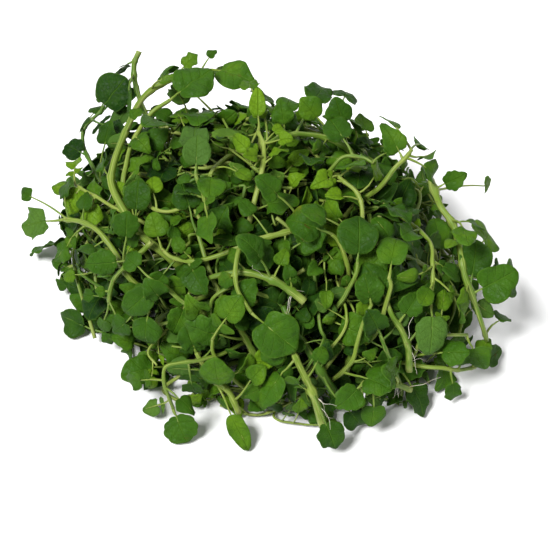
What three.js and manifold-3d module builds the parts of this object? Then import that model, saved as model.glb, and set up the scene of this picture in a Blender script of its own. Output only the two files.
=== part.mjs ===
// A bunch of watercress lying loose on a table, in millimetres with +Z up.
// Each sprig is one solid: a stem with its leaves grown into it. The sprigs lie in and over a
// low heap, clear of each other, and the lowest of them rest on the table at z = 0.
import * as THREE from 'three';
import { mergeVertices } from 'three/addons/utils/BufferGeometryUtils.js';
import Module from 'manifold-3d';

// The heap is half an ellipsoid, turned on the table.
const HEAP_HALF_LENGTH = 122;
const HEAP_HALF_DEPTH = 98;
const HEAP_HEIGHT = 94;
const HEAP_TURN = THREE.MathUtils.degToRad(-26);

// Stems have few sides, thick ones one more, and a leaf is a thin blade on a flat stalk.
const STEM_SIDES = 4;
const THICK_STEM_SIDES = 5;
const THICK_STEM_FROM = 1.6;
const STEM_RING_STEP = 20;
const STEM_RINGS_LEAST = 4;
const STEM_RINGS_MOST = 7;
const BLADE_THICK = 0.7;
const STALK_THICK = 1.3;
const STALK_HALF_WIDTH = 0.85;
const STALK_TAPER = 0.25;
const STALK_STEP = 30;
const BLADE_SHARE = 0.82;
const BLADE_CENTRE = 0.45;
const EDGE_WAVE = 0.05;
const LEAFLET_ROOT = 1.6;

// A side leaflet's corners: along the stalk, out from it and raised, as parts of its size.
const LEAFLET_NEAR = [-0.12, 0.5, 0.06];
const LEAFLET_TIP = [0.55, 1.05, 0.1];
const LEAFLET_FAR = [0.55, 0.45, 0.02];

// The ranges that a leaf's arch, fold, wave and blade length are drawn from.
const LEAF_BEND = [0.35, 0.95];
const LEAF_FOLD = [-0.12, 0.22];
const LEAF_PHASE = [0, 6.28];
const LEAF_ASPECT = [1, 1.2];

// Sprigs keep this far apart. A leaf may sink so much into its own stem, in mm3 for each mm of
// the stem's radius, and so much into another leaf of its sprig.
const CLEARANCE = 0.35;
const OWN_STEM_OVERLAP = 6.5;
const OWN_LEAF_OVERLAP = 1;
const LEAF_TRIES = 60;
const STEM_TRIES = 30;

// How much further each later try moves a leaf's tip, turns the leaf, moves a rooted stem's end
// and lifts a stem.
const LEAF_SHIFT = 0.9;
const LEAF_TURN = 0.07;
const STEM_SHIFT = 3;
const STEM_LIFT = 0.4;

// A rooted stem's two hidden stretches: their length, how they sink, and the lowest that they
// may end.
const ROOTED_STEP = 24;
const ROOTED_SINK = 0.86;
const ROOTED_LAST = 0.8;
const ROOTED_LOWEST = 6;

// A leaf by rule: which way it leaves the stem, its reach and its width as parts of the common
// size, how many have side leaflets, and how far they roll, in radians. Those rooted lower
// than LOW_ROOT grow upwards, off the table.
const RULE_LEAF_SIZE = 17;
const RULE_FORWARD = [0.25, 0.8];
const RULE_RISE = [-0.15, 0.75];
const RULE_SIDEWAYS = [0.35, 1];
const RULE_REACH = [1.4, 2.3];
const RULE_WIDTH = [0.75, 1.15];
const RULE_ROLL = [-0.6, 0.6];
const PAIRED_SHARE = 0.2;
const LOW_ROOT = 14;

const TABLE_SIZE = 600;
const TABLE_THICK = 20;

// The sprigs that show on top. thick is the stem's radius at its base and at its tip. A route
// runs from base to tip, and rooted carries it on down into the heap. A leaf is where it
// grows along the stem, where its tip is, how wide it is, its pairs of side leaflets and how
// far it rolls about its stalk in degrees. more counts further leaves, which grow by rule.
// tone is the sprig's colour where it isn't the common green.
const SHOWN_SPRIGS = [
  {
    name: 'arch_thick',
    thick: [2.5, 1.4],
    rooted: true,
    route: [[-61, -32, 71], [-68, -25, 74], [-80, -3, 78], [-81, 11, 80], [-76, 34, 82], [-67, 66, 80],
      [-48, 77, 85], [-31, 78, 89]],
    leaves: [[1, -6, 66, 91, 21, 0, 0], [0.97, -27, 85, 98, 6, 0, 0], [0.88, -37, 83, 96, 10, 0, 0]],
    more: 1,
  },
  {
    name: 'arch_bright',
    thick: [1.7, 1.1],
    rooted: true,
    route: [[-75, 1, 72], [-74, 15, 79], [-71, 28, 83], [-62, 43, 89], [-51, 47, 96]],
    leaves: [[1, -29, 66, 99, 23, 0, 0], [0.7, -62, 17, 88, 11, 1, 0]],
    more: 1,
  },
  {
    name: 'left_loop',
    tone: 'dark',
    thick: [1.4, 0.9],
    rooted: true,
    route: [[-89, 31, 43], [-97, 43, 49], [-103, 58, 49], [-103, 66, 54], [-98, 71, 58], [-92, 75, 61]],
    leaves: [[1, -73, 80, 73, 18, 0, 0], [0.85, -79, 44, 73, 13, 1, 0], [0.5, -113, 58, 50, 13, 0, 0]],
    more: 1,
  },
  {
    name: 'upright_end',
    tone: 'dark',
    thick: [1.6, 1.1],
    rooted: false,
    route: [[-71, 97, 86], [-74, 92, 80], [-73, 83, 72], [-66, 63, 67], [-54, 34, 72], [-45, 13, 76]],
    leaves: [[0.9, -56, -4, 82, 17, 1, 0]],
    more: 1,
  },
  {
    name: 'left_arch',
    thick: [1.8, 1.2],
    rooted: true,
    route: [[-68, -44, 50], [-74, -39, 57], [-77, -34, 60], [-82, -28, 64], [-89, -20, 66], [-98, -12, 63],
      [-108, -5, 57]],
    leaves: [[1, -131, 2, 44, 18, 0, 0], [0.85, -95, 0, 73, 10, 0, 0], [0.97, -136, 16, 53, 8, 0, 0]],
    more: 1,
  },
  {
    name: 'left_branch',
    thick: [1.5, 1],
    rooted: false,
    route: [[-58, -37, 75], [-63, -39, 70], [-71, -43, 64], [-78, -45, 56], [-81, -48, 48], [-82, -50, 41]],
    leaves: [[1, -87, -52, 20, 9, 0, 0], [0.97, -76, -61, 25, 8, 0, 0], [0.8, -89, -46, 46, 6, 0, 0]],
    more: 1,
  },
  {
    name: 'left_yellow',
    tone: 'young',
    thick: [1.2, 0.8],
    rooted: true,
    route: [[-69, -17, 72], [-81, -9, 72], [-89, -1, 70], [-97, 7, 67], [-103, 15, 63]],
    leaves: [[0.9, -107, 2, 54, 12, 1, 0], [1, -104, 36, 62, 9, 1, 0], [0.7, -94, -14, 59, 13, 0, 0]],
    more: 0,
  },
  {
    name: 'left_low',
    thick: [1.5, 1],
    rooted: true,
    route: [[-33, -69, 57], [-42, -66, 62], [-50, -61, 67], [-57, -58, 69]],
    leaves: [[1, -62, -77, 38, 17, 0, 0], [0.8, -80, -66, 36, 13, 1, 0], [0.9, -74, -42, 70, 12, 0, 0]],
    more: 1,
  },
  {
    name: 'thin_arc',
    tone: 'young',
    thick: [1, 0.8],
    rooted: false,
    route: [[-29, -19, 88], [-42, -23, 86], [-49, -23, 83], [-56, -20, 81], [-62, -14, 79], [-71, -6, 73]],
    leaves: [[1, -81, 5, 77, 8, 1, 0], [0.6, -59, -2, 88, 10, 0, 0]],
    more: 0,
  },
  {
    name: 'centre_bar',
    thick: [1.9, 0.9],
    rooted: true,
    route: [[28, -32, 85], [19, -38, 87], [6, -43, 87], [-6, -46, 86], [-22, -51, 81], [-36, -51, 76],
      [-47, -46, 73], [-53, -39, 72]],
    leaves: [[1, -58, -25, 84, 13, 0, 0], [0.8, -30, -66, 67, 14, 1, 0], [0.55, 2, -62, 84, 15, 1, 0]],
    more: 1,
  },
  {
    name: 'cut_bar',
    thick: [2.3, 1.1],
    rooted: false,
    route: [[21, -73, 70], [14, -69, 74], [6, -66, 78], [-2, -63, 79], [-12, -61, 79], [-24, -60, 75],
      [-32, -60, 70], [-38, -60, 62]],
    leaves: [[1, -45, -71, 47, 15, 1, 0], [0.3, 12, -54, 89, 8, 0, 0]],
    more: 1,
  },
  {
    name: 'centre_hook',
    thick: [1.4, 0.9],
    rooted: true,
    route: [[5, -66, 64], [-6, -66, 70], [-15, -65, 72], [-21, -66, 70], [-26, -68, 66], [-27, -70, 61]],
    leaves: [[1, -24, -79, 52, 7, 0, 0]],
    more: 1,
  },
  {
    name: 'centre_drop',
    thick: [1.3, 1],
    rooted: false,
    route: [[-10, -49, 91], [-13, -58, 89], [-14, -67, 85], [-13, -73, 80], [-9, -78, 75], [-6, -80, 70]],
    leaves: [[1, 16, -92, 56, 24, 0, 0], [0.4, -22, -69, 79, 9, 0, 0]],
    more: 0,
  },
  {
    name: 'front_kink',
    thick: [1.1, 0.9],
    rooted: true,
    route: [[-18, -79, 38], [-27, -85, 41], [-33, -88, 42], [-42, -90, 43], [-49, -92, 42], [-50, -95, 33],
      [-48, -97, 24], [-46, -98, 15]],
    leaves: [[1, -40, -113, 3, 19, 0, 0], [0.5, -36, -93, 17, 12, 1, 0]],
    more: 0,
  },
  {
    name: 'front_lobed',
    thick: [1.2, 0.9],
    rooted: true,
    route: [[-11, -93, 25], [-18, -91, 34], [-23, -89, 41], [-26, -87, 47], [-26, -84, 53]],
    leaves: [[1, -11, -76, 78, 14, 1, 0]],
    more: 1,
  },
  {
    name: 'front_low',
    thick: [1.6, 1.1],
    rooted: false,
    route: [[-13, -101, 12], [-18, -96, 24], [-26, -92, 29], [-31, -86, 33], [-35, -81, 38]],
    leaves: [[1, -40, -75, 53, 14, 1, 0], [0.45, -9, -115, 4, 11, 0, 0]],
    more: 1,
  },
  {
    name: 'front_thick',
    thick: [2.3, 1.5],
    rooted: false,
    route: [[31, -107, 9], [27, -104, 27], [23, -100, 37], [19, -96, 45], [15, -91, 52]],
    leaves: [[1, -2, -94, 58, 16, 0, 0], [0.9, -2, -108, 29, 13, 0, 35], [0.4, 41, -119, 5, 15, 0, 0]],
    more: 0,
  },
  {
    name: 'front_dark',
    tone: 'dark',
    thick: [2.4, 1.7],
    rooted: true,
    route: [[38, -91, 14], [30, -89, 32], [23, -83, 43], [16, -76, 52], [10, -67, 59]],
    leaves: [[1, -2, -66, 69, 15, 1, 0], [0.5, 52, -107, 7, 14, 1, 0]],
    more: 1,
  },
  {
    name: 'right_cut',
    thick: [1.9, 1.2],
    rooted: false,
    route: [[76, -86, 29], [75, -82, 43], [71, -78, 53], [66, -74, 60], [63, -68, 65]],
    leaves: [[1, 52, -57, 81, 17, 1, 0], [0.6, 79, -66, 68, 13, 0, 0]],
    more: 1,
  },
  {
    name: 'right_bow',
    thick: [1.2, 0.9],
    rooted: true,
    route: [[77, -77, 30], [81, -79, 44], [87, -77, 48], [96, -74, 44], [107, -67, 35]],
    leaves: [[1, 115, -72, 13, 15, 0, 40]],
    more: 1,
  },
  {
    name: 'right_cut_low',
    thick: [1.7, 1.3],
    rooted: false,
    route: [[77, -91, 19], [69, -94, 28], [60, -97, 33], [51, -99, 36]],
    leaves: [[1, 38, -110, 29, 15, 0, 0], [0.75, 56, -110, 13, 13, 0, 0]],
    more: 1,
  },
  {
    name: 'right_long',
    thick: [1.9, 1.2],
    rooted: false,
    route: [[89, 4, 79], [93, -14, 78], [100, -24, 73], [103, -38, 67], [105, -48, 61], [111, -57, 48],
      [115, -62, 38], [119, -62, 24]],
    leaves: [[0.06, 110, 34, 60, 10, 0, 0], [0.5, 122, -9, 53, 20, 0, 0], [0.58, 141, -20, 23, 20, 1, 0]],
    more: 2,
  },
  {
    name: 'right_front',
    thick: [1.3, 1],
    rooted: true,
    route: [[78, -77, 24], [92, -79, 24], [101, -76, 18], [111, -69, 11]],
    leaves: [[1, 128, -55, 7, 12, 0, 0], [0.8, 105, -74, 31, 9, 0, 0], [0.7, 101, -88, 6, 10, 0, 0]],
    more: 1,
  },
  {
    name: 'right_upright',
    thick: [1.1, 0.9],
    rooted: true,
    route: [[86, -36, 75], [87, -50, 74], [87, -59, 69], [86, -66, 61]],
    leaves: [[1, 86, -85, 41, 17, 0, 0], [0.8, 80, -74, 69, 10, 0, 0]],
    more: 1,
  },
  {
    name: 'bright_stalk',
    thick: [1.3, 1],
    rooted: true,
    route: [[45, -90, 41], [48, -86, 53], [51, -80, 62], [55, -73, 68]],
    leaves: [[1, 67, -59, 73, 15, 1, 0]],
    more: 1,
  },
  {
    name: 'right_curl',
    tone: 'dark',
    thick: [1.3, 0.9],
    rooted: true,
    route: [[73, -88, 12], [68, -87, 32], [63, -85, 46], [60, -81, 53]],
    leaves: [[1, 51, -74, 69, 14, 0, 0]],
    more: 0,
  },
  {
    name: 'far_arc',
    thick: [1.2, 0.9],
    rooted: true,
    route: [[35, 0, 90], [42, 3, 97], [51, 2, 98], [57, -1, 97]],
    leaves: [[1, 69, 8, 99, 7, 0, 0], [0.7, 35, 24, 104, 16, 0, 0]],
    more: 1,
  },
  {
    name: 'right_fork',
    tone: 'young',
    thick: [1.3, 1],
    rooted: true,
    route: [[50, -35, 81], [51, -24, 88], [48, -17, 92], [42, -12, 94], [39, -8, 94]],
    leaves: [[0.6, 79, -5, 84, 14, 1, 0], [1, 26, -19, 99, 11, 1, 0]],
    more: 1,
  },
  {
    name: 'yellow_tip',
    tone: 'young',
    thick: [1.7, 1],
    rooted: true,
    route: [[-8, -32, 80], [-2, -15, 98], [0, -5, 102], [0, 5, 104], [-3, 14, 105]],
    leaves: [[0.7, -10, -11, 112, 9, 0, 0], [0.85, 15, 2, 112, 8, 0, 0], [1, -2, 30, 110, 9, 0, 0]],
    more: 1,
  },
  {
    name: 'crown',
    thick: [1.8, 1.1],
    rooted: true,
    route: [[47, 21, 82], [33, 22, 92], [19, 20, 97], [10, 15, 100], [2, 10, 100]],
    leaves: [[0.7, 33, 62, 92, 16, 0, 0], [0.5, 47, 68, 84, 16, 0, 0], [1, -9, 58, 100, 11, 0, 0],
      [0.9, 15, 49, 97, 13, 0, 0]],
    more: 0,
  },
  {
    name: 'right_top',
    thick: [1.5, 1],
    rooted: true,
    route: [[57, -9, 78], [64, -5, 87], [70, 0, 90], [73, 5, 90]],
    leaves: [[1, 64, 36, 94, 12, 0, 35], [0.9, 85, 28, 81, 11, 0, 0], [0.8, 92, 0, 84, 13, 0, 0]],
    more: 1,
  },
  {
    name: 'round_leaf',
    thick: [1.4, 1],
    rooted: true,
    route: [[38, -69, 62], [44, -65, 72], [47, -62, 78], [48, -58, 82]],
    leaves: [[1, 49, -38, 96, 21, 0, 0]],
    more: 1,
  },
  {
    name: 'oval_leaf',
    thick: [1.4, 1],
    rooted: true,
    route: [[56, -74, 46], [61, -68, 63], [63, -65, 72], [62, -63, 76]],
    leaves: [[1, 64, -43, 91, 16, 0, 0]],
    more: 1,
  },
  {
    name: 'spotted_leaf',
    thick: [1.5, 1],
    rooted: true,
    route: [[44, -54, 68], [41, -49, 81], [38, -46, 87], [35, -45, 90]],
    leaves: [[1, 12, -41, 98, 20, 0, 0]],
    more: 1,
  },
  {
    name: 'pale_leaf',
    thick: [1.4, 1],
    rooted: true,
    route: [[-26, -28, 78], [-29, -23, 91], [-32, -19, 97], [-33, -17, 99]],
    leaves: [[1, -36, 14, 106, 16, 0, 0]],
    more: 1,
  },
  {
    name: 'folded_leaf',
    thick: [1.5, 1],
    rooted: true,
    route: [[-17, 18, 82], [-22, 2, 95], [-26, -10, 101], [-28, -16, 101]],
    leaves: [[1, -36, -46, 90, 15, 1, 30]],
    more: 1,
  },
];

const COMMON_TONE = 'mid';
const TONES = { mid: 0x4c8a2c, young: 0x93b83c, dark: 0x2d6526 };
const SPRIG_ROUGHNESS = 0.45;

// The sprigs that fill the heap, tier by tier, spread evenly round it from a bearing in
// degrees. from and to place a stem's two ends: how deep it lies, where 1 is on the heap's
// skin, and the angle down from the top in degrees. swing is how far round it bends.
const FILLING_TIERS = [
  { name: 'base', count: 9, bearing: 5, from: [0.55, 89], to: [0.9, 86], swing: 55, leaves: 4 },
  { name: 'side', count: 10, bearing: 40, from: [0.84, 74], to: [0.98, 30], swing: 55, leaves: 4 },
  { name: 'inner', count: 4, bearing: 200, from: [0.6, 72], to: [0.84, 20], swing: 60, leaves: 4 },
];
const FILLING_THICK = [1.9, 1.1];
const FILLING_LOWEST = 1.5;
const FILLING_SPREAD = 0.6;
const FILLING_SWING = [0.5, 1];
const FILLING_WAVE = [-0.04, 0.04];
const FILLING_SINK = [-0.04, 0.04];
const ARCH_STEP = 0.8;

// Where leaves turn their upper side, besides out of the heap.
const LIGHT_ON_SHOWN = new THREE.Vector3(0, -0.9, 1.1);
const LIGHT_ON_OTHERS = new THREE.Vector3(0, -0.2, 0.6);
const SHOWN_SEED = 100;
const FILLING_SEED = 9000;

const wasm = await Module();
wasm.setup();

// A seeded stream of numbers from 0 to 1, so that each build is the same.
function seeded(seed) {
  let state = seed | 0;
  return () => {
    state = (state + 0x6d2b79f5) | 0;
    let mixed = Math.imul(state ^ (state >>> 15), 1 | state);
    mixed = (mixed + Math.imul(mixed ^ (mixed >>> 7), 61 | mixed)) ^ mixed;
    return ((mixed ^ (mixed >>> 14)) >>> 0) / 4294967296;
  };
}

// The next number of a stream, brought into a range.
function between(draw, [low, high]) {
  return low + (high - low) * draw();
}

// A random move, up to half of size each way.
function randomMove(draw, size) {
  return new THREE.Vector3(draw() - 0.5, draw() - 0.5, draw() - 0.5).multiplyScalar(size);
}

// A point of the heap: depth 1 is its skin, fall is the angle from the top, bearing the compass.
function heapPoint(depth, fall, bearing) {
  const along = HEAP_HALF_LENGTH * depth * Math.sin(fall) * Math.cos(bearing);
  const across = HEAP_HALF_DEPTH * depth * Math.sin(fall) * Math.sin(bearing);
  const x = along * Math.cos(HEAP_TURN) - across * Math.sin(HEAP_TURN);
  const y = along * Math.sin(HEAP_TURN) + across * Math.cos(HEAP_TURN);
  return new THREE.Vector3(x, y, HEAP_HEIGHT * depth * Math.cos(fall));
}

// A place in the heap's own directions, scaled so that the heap's skin is at length 1.
function heapScaled(point) {
  const along = point.x * Math.cos(HEAP_TURN) + point.y * Math.sin(HEAP_TURN);
  const across = point.y * Math.cos(HEAP_TURN) - point.x * Math.sin(HEAP_TURN);
  return new THREE.Vector3(along / HEAP_HALF_LENGTH, across / HEAP_HALF_DEPTH, point.z / HEAP_HEIGHT);
}

// The direction out of the heap at a point.
function outOfHeap(point) {
  const scaled = heapScaled(point);
  const along = scaled.x / HEAP_HALF_LENGTH;
  const across = scaled.y / HEAP_HALF_DEPTH;
  const x = along * Math.cos(HEAP_TURN) - across * Math.sin(HEAP_TURN);
  const y = along * Math.sin(HEAP_TURN) + across * Math.cos(HEAP_TURN);
  return new THREE.Vector3(x, y, scaled.z / HEAP_HEIGHT).normalize();
}

// A closed mesh as a solid.
function solidOf(geometry) {
  const bare = geometry.clone();
  bare.deleteAttribute('normal');
  bare.deleteAttribute('uv');
  const merged = mergeVertices(bare, 1e-5);
  return new wasm.Manifold(new wasm.Mesh({
    numProp: 3,
    vertProperties: new Float32Array(merged.attributes.position.array),
    triVerts: new Uint32Array(merged.index.array),
  }));
}

// A stem: a cylinder that thins towards its tip, bent along its route.
function stemSolid(stem, swell) {
  const [base, tip] = stem.thick;
  const sides = base > THICK_STEM_FROM ? THICK_STEM_SIDES : STEM_SIDES;
  const geometry = new THREE.CylinderGeometry(tip + swell, base + swell, 1, sides, stem.rings);
  const rings = [];
  let normal = new THREE.Vector3(0.31, -0.22, 0.92);
  for (let i = 0; i <= stem.rings; i += 1) {
    const tangent = stem.curve.getTangent(i / stem.rings);
    normal = normal.addScaledVector(tangent, -normal.dot(tangent)).normalize();
    rings.push({
      centre: stem.curve.getPoint(i / stem.rings),
      normal: normal.clone(),
      binormal: new THREE.Vector3().crossVectors(normal, tangent),
    });
  }
  const position = geometry.attributes.position;
  for (let i = 0; i < position.count; i += 1) {
    const ring = rings[Math.round((position.getY(i) + 0.5) * stem.rings)];
    const point = ring.centre.clone()
      .addScaledVector(ring.normal, position.getX(i))
      .addScaledVector(ring.binormal, position.getZ(i));
    position.setXYZ(i, point.x, point.y, point.z);
  }
  return solidOf(geometry);
}

// The stem's curve, radii and number of rings.
function makeStem(points, thick) {
  const curve = new THREE.CatmullRomCurve3(points, false, 'catmullrom', 0.5);
  let length = 0;
  for (let i = 1; i < points.length; i += 1) length += points[i].distanceTo(points[i - 1]);
  const rings = THREE.MathUtils.clamp(Math.round(length / STEM_RING_STEP), STEM_RINGS_LEAST, STEM_RINGS_MOST);
  return { curve, thick, rings };
}

// Half the outline of a blade, as parts of its length and width: more points on a wide one.
function bladeEdge(width) {
  if (width > 17) return [[0, 0.32], [0.25, 0.5], [0.62, 0.46], [0.88, 0.27]];
  if (width > 12) return [[0.04, 0.36], [0.42, 0.5], [0.82, 0.33]];
  return [[0.2, 0.42], [0.7, 0.4]];
}

// A leaf laid flat: points are [along, across, thickness, rise], faces run anticlockwise.
function leafPlan(leaf, swell) {
  const points = [];
  const faces = [];
  const add = (along, across, thick, rise) => points.push([along, across, thick + 2 * swell, rise]) - 1;
  const bladeLong = Math.min(leaf.width * leaf.aspect, leaf.length * BLADE_SHARE);
  const stalkLong = leaf.length - bladeLong;
  const addRung = (along) => {
    const half = STALK_HALF_WIDTH + swell - STALK_TAPER * (along / leaf.length);
    return [add(along, half, STALK_THICK, 0), add(along, -half, STALK_THICK, 0)];
  };

  let rung = addRung(0);
  const stalkSteps = leaf.pairs > 0 ? leaf.pairs : Math.max(1, Math.round(stalkLong / STALK_STEP));
  const stride = (from, to) => {
    faces.push([from[1], to[1], to[0]], [from[1], to[0], from[0]]);
    return to;
  };
  for (let step = 1; step <= stalkSteps; step += 1) {
    const along = stalkLong * step / stalkSteps;
    if (step <= leaf.pairs) {
      const root = stalkLong * (step - 0.35) / leaf.pairs - LEAFLET_ROOT / 2;
      rung = stride(rung, addRung(root));
      const next = addRung(root + LEAFLET_ROOT);
      const size = leaf.width * (0.36 + 0.12 * step / leaf.pairs);
      for (const side of [0, 1]) {
        const sign = 1 - 2 * side;
        const corner = (from, [ahead, out, rise]) => (
          add(from + ahead * size, sign * (out * size + 1), BLADE_THICK, rise * size)
        );
        const near = corner(root, LEAFLET_NEAR);
        const tip = corner(root, LEAFLET_TIP);
        const far = corner(root + LEAFLET_ROOT, LEAFLET_FAR);
        const fan = [[tip, near, rung[side]], [tip, rung[side], next[side]], [tip, next[side], far]];
        for (const face of fan) faces.push(side === 0 ? face : face.reverse());
      }
      rung = stride(rung, next);
    }
    rung = stride(rung, addRung(along));
  }

  const edge = bladeEdge(leaf.width);
  const centre = add(stalkLong + BLADE_CENTRE * bladeLong, 0, BLADE_THICK, 0);
  const ring = [rung[1]];
  const addEdge = ([share, spread], sign, turn) => {
    const wave = Math.sin(2.4 * turn + leaf.phase);
    const across = sign * (leaf.width * spread * (1 + EDGE_WAVE * wave) + swell);
    const lift = EDGE_WAVE * leaf.width * Math.sin(1.7 * turn + 2 * leaf.phase);
    const rise = lift + leaf.fold * Math.abs(across);
    ring.push(add(stalkLong + bladeLong * share, across, BLADE_THICK, rise));
  };
  edge.forEach((place, i) => addEdge(place, -1, i));
  ring.push(add(leaf.length + swell, 0, BLADE_THICK, 0));
  edge.slice().reverse().forEach((place, i) => addEdge(place, 1, edge.length + i));
  ring.push(rung[0]);
  for (let i = 1; i < ring.length; i += 1) faces.push([centre, ring[i - 1], ring[i]]);
  faces.push([centre, rung[0], rung[1]]);
  return { points, faces };
}

// The leaf's plan bent along an arc from its root to its tip, and given its thickness.
function leafSolid(leaf, swell) {
  const { points, faces } = leafPlan(leaf, swell);
  const position = [];
  for (const side of [1, -1]) {
    for (const [along, across, thick, rise] of points) {
      const angle = leaf.bend * along / leaf.length;
      const reach = leaf.length / leaf.bend;
      const lift = rise + side * thick / 2;
      const normal = leaf.start.clone().multiplyScalar(Math.sin(angle))
        .addScaledVector(leaf.up, Math.cos(angle));
      const point = leaf.root.clone()
        .addScaledVector(leaf.start, reach * Math.sin(angle))
        .addScaledVector(leaf.up, -reach * (1 - Math.cos(angle)))
        .addScaledVector(leaf.across, across)
        .addScaledVector(normal, lift);
      position.push(point.x, point.y, point.z);
    }
  }
  const under = points.length;
  const index = [];
  const open = new Set(faces.flatMap(([a, b, c]) => [`${a} ${b}`, `${b} ${c}`, `${c} ${a}`]));
  for (const [a, b, c] of faces) {
    index.push(a, b, c, under + c, under + b, under + a);
    for (const [from, to] of [[a, b], [b, c], [c, a]]) {
      if (!open.has(`${to} ${from}`)) {
        index.push(under + from, under + to, to, under + from, to, from);
      }
    }
  }
  const geometry = new THREE.BufferGeometry();
  geometry.setAttribute('position', new THREE.Float32BufferAttribute(position, 3));
  geometry.setIndex(index);
  return solidOf(geometry);
}

// A leaf from its root to its tip, with its upper side turned out of the heap and to the light.
function makeLeaf(root, tip, light, shape) {
  const chord = tip.clone().sub(root);
  const span = chord.length();
  chord.normalize();
  const face = outOfHeap(tip).add(light);
  face.addScaledVector(chord, -face.dot(chord)).normalize();
  face.applyAxisAngle(chord, shape.roll);
  const half = shape.bend / 2;
  const start = chord.clone().multiplyScalar(Math.cos(half)).addScaledVector(face, Math.sin(half));
  const up = face.clone().multiplyScalar(Math.cos(half)).addScaledVector(chord, -Math.sin(half));
  const across = new THREE.Vector3().crossVectors(up, start);
  const length = span * half / Math.sin(half);
  return { ...shape, root, length, start, up, across };
}

// What varies from leaf to leaf: how it arches, folds, waves and how long its blade is.
function leafShape(draw, width, pairs, roll) {
  return {
    width,
    pairs,
    roll,
    bend: between(draw, LEAF_BEND),
    fold: between(draw, LEAF_FOLD),
    phase: between(draw, LEAF_PHASE),
    aspect: between(draw, LEAF_ASPECT),
  };
}

// A leaf of the list, as given on the first try and then moved a little more each time.
function listedLeaf(stem, [where, x, y, z, width, pairs, roll], draw, attempt) {
  const shift = randomMove(draw, LEAF_SHIFT * attempt);
  const turn = (draw() - 0.5) * LEAF_TURN * attempt;
  const shape = leafShape(draw, width, pairs, THREE.MathUtils.degToRad(roll) + turn);
  return makeLeaf(stem.curve.getPoint(where), new THREE.Vector3(x, y, z).add(shift), LIGHT_ON_SHOWN, shape);
}

// A leaf by rule: it leaves the stem forwards, outwards and to its own side, and up if low.
function ruleLeaf(stem, where, side, draw) {
  const root = stem.curve.getPoint(where);
  const along = stem.curve.getTangent(where);
  const out = outOfHeap(root);
  const across = new THREE.Vector3().crossVectors(along, out).normalize();
  const forward = between(draw, RULE_FORWARD);
  const rise = between(draw, RULE_RISE);
  const sideways = side * between(draw, RULE_SIDEWAYS);
  const reach = RULE_LEAF_SIZE * between(draw, RULE_REACH);
  const width = RULE_LEAF_SIZE * between(draw, RULE_WIDTH);
  const pairs = draw() < PAIRED_SHARE ? 1 : 0;
  const shape = leafShape(draw, width, pairs, between(draw, RULE_ROLL));
  const direction = along.multiplyScalar(forward + 0.5 * (side === 0))
    .addScaledVector(out, rise)
    .addScaledVector(across, sideways)
    .normalize();
  if (root.z < LOW_ROOT) direction.z = Math.abs(direction.z);
  return makeLeaf(root, root.clone().addScaledVector(direction, reach), LIGHT_ON_OTHERS, shape);
}

// What stands in the heap so far: each solid with its box and the sprig that it belongs to.
const placed = [];

function boxOf(solid) {
  const { min, max } = solid.boundingBox();
  return new THREE.Box3(new THREE.Vector3(...min), new THREE.Vector3(...max));
}

// The volume that two solids share.
function shared(one, other) {
  const common = one.intersect(other);
  const volume = common.volume();
  common.delete();
  return volume;
}

// True where a solid is clear of the table and of all other sprigs, and keeps off its own.
function isClear(solid, sprig, isLeaf) {
  const box = boxOf(solid);
  if (isLeaf && box.min.z < 0) return false;
  for (const other of placed) {
    if (!box.intersectsBox(other.box)) continue;
    if (other.sprig !== sprig) {
      if (shared(solid, other.solid) > 0) return false;
    } else if (shared(solid, other.solid) > other.mayShare) {
      return false;
    }
  }
  return true;
}

// Tries one candidate after another, and keeps the first that is clear.
function settle(sprig, isLeaf, tries, candidate) {
  const build = isLeaf ? leafSolid : stemSolid;
  for (let attempt = 0; attempt < tries; attempt += 1) {
    const item = candidate(attempt);
    const wide = build(item, CLEARANCE);
    const clear = isClear(wide, sprig, isLeaf);
    wide.delete();
    if (clear) {
      const solid = build(item, 0);
      const mayShare = isLeaf ? OWN_LEAF_OVERLAP : OWN_STEM_OVERLAP * item.thick[0];
      placed.push({ solid, box: boxOf(solid), sprig, isLeaf, mayShare });
      return item;
    }
  }
  return null;
}

// The route of a listed stem. A rooted one carries on backwards, ever deeper under the skin.
// Later tries lift it and move the end that is inside the heap.
function shownStem(sprig, draw, attempt) {
  const points = sprig.route.map((place) => new THREE.Vector3(...place));
  const shift = randomMove(draw, STEM_SHIFT * attempt);
  for (const point of points) point.addScaledVector(outOfHeap(point), STEM_LIFT * attempt);
  if (sprig.rooted) {
    const back = points[0].clone().sub(points[1]).setLength(ROOTED_STEP);
    const under = points[0].clone().add(back).multiplyScalar(ROOTED_SINK);
    const deep = under.clone().add(back).multiplyScalar(ROOTED_LAST).add(shift);
    deep.z = Math.max(deep.z, ROOTED_LOWEST);
    points.unshift(deep, under);
  }
  return makeStem(points, sprig.thick);
}

// The route of a filling stem, from end to end of its tier, swung and waved by its draws.
// Later tries arch it higher over what lies in its way.
function fillingStem(tier, number, draw, attempt) {
  const bearing = tier.bearing + 360 * (number + FILLING_SPREAD * (draw() - 0.5)) / tier.count;
  const swing = tier.swing * between(draw, FILLING_SWING) * (1 - 2 * (number % 2));
  const wave = between(draw, FILLING_WAVE);
  const sink = between(draw, FILLING_SINK);
  const points = [];
  for (let i = 0; i <= 4; i += 1) {
    const share = i / 4;
    const middle = THREE.MathUtils.lerp(tier.from[0], tier.to[0], share);
    const depth = middle + sink + wave * Math.sin(4.5 * share);
    const fall = THREE.MathUtils.lerp(tier.from[1], tier.to[1], share);
    const turn = bearing + swing * share * share;
    const point = heapPoint(depth, THREE.MathUtils.degToRad(fall), THREE.MathUtils.degToRad(turn));
    point.z = Math.max(point.z, FILLING_LOWEST) + ARCH_STEP * attempt * Math.sin(Math.PI * share);
    points.push(point);
  }
  return makeStem(points, FILLING_THICK);
}

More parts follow.
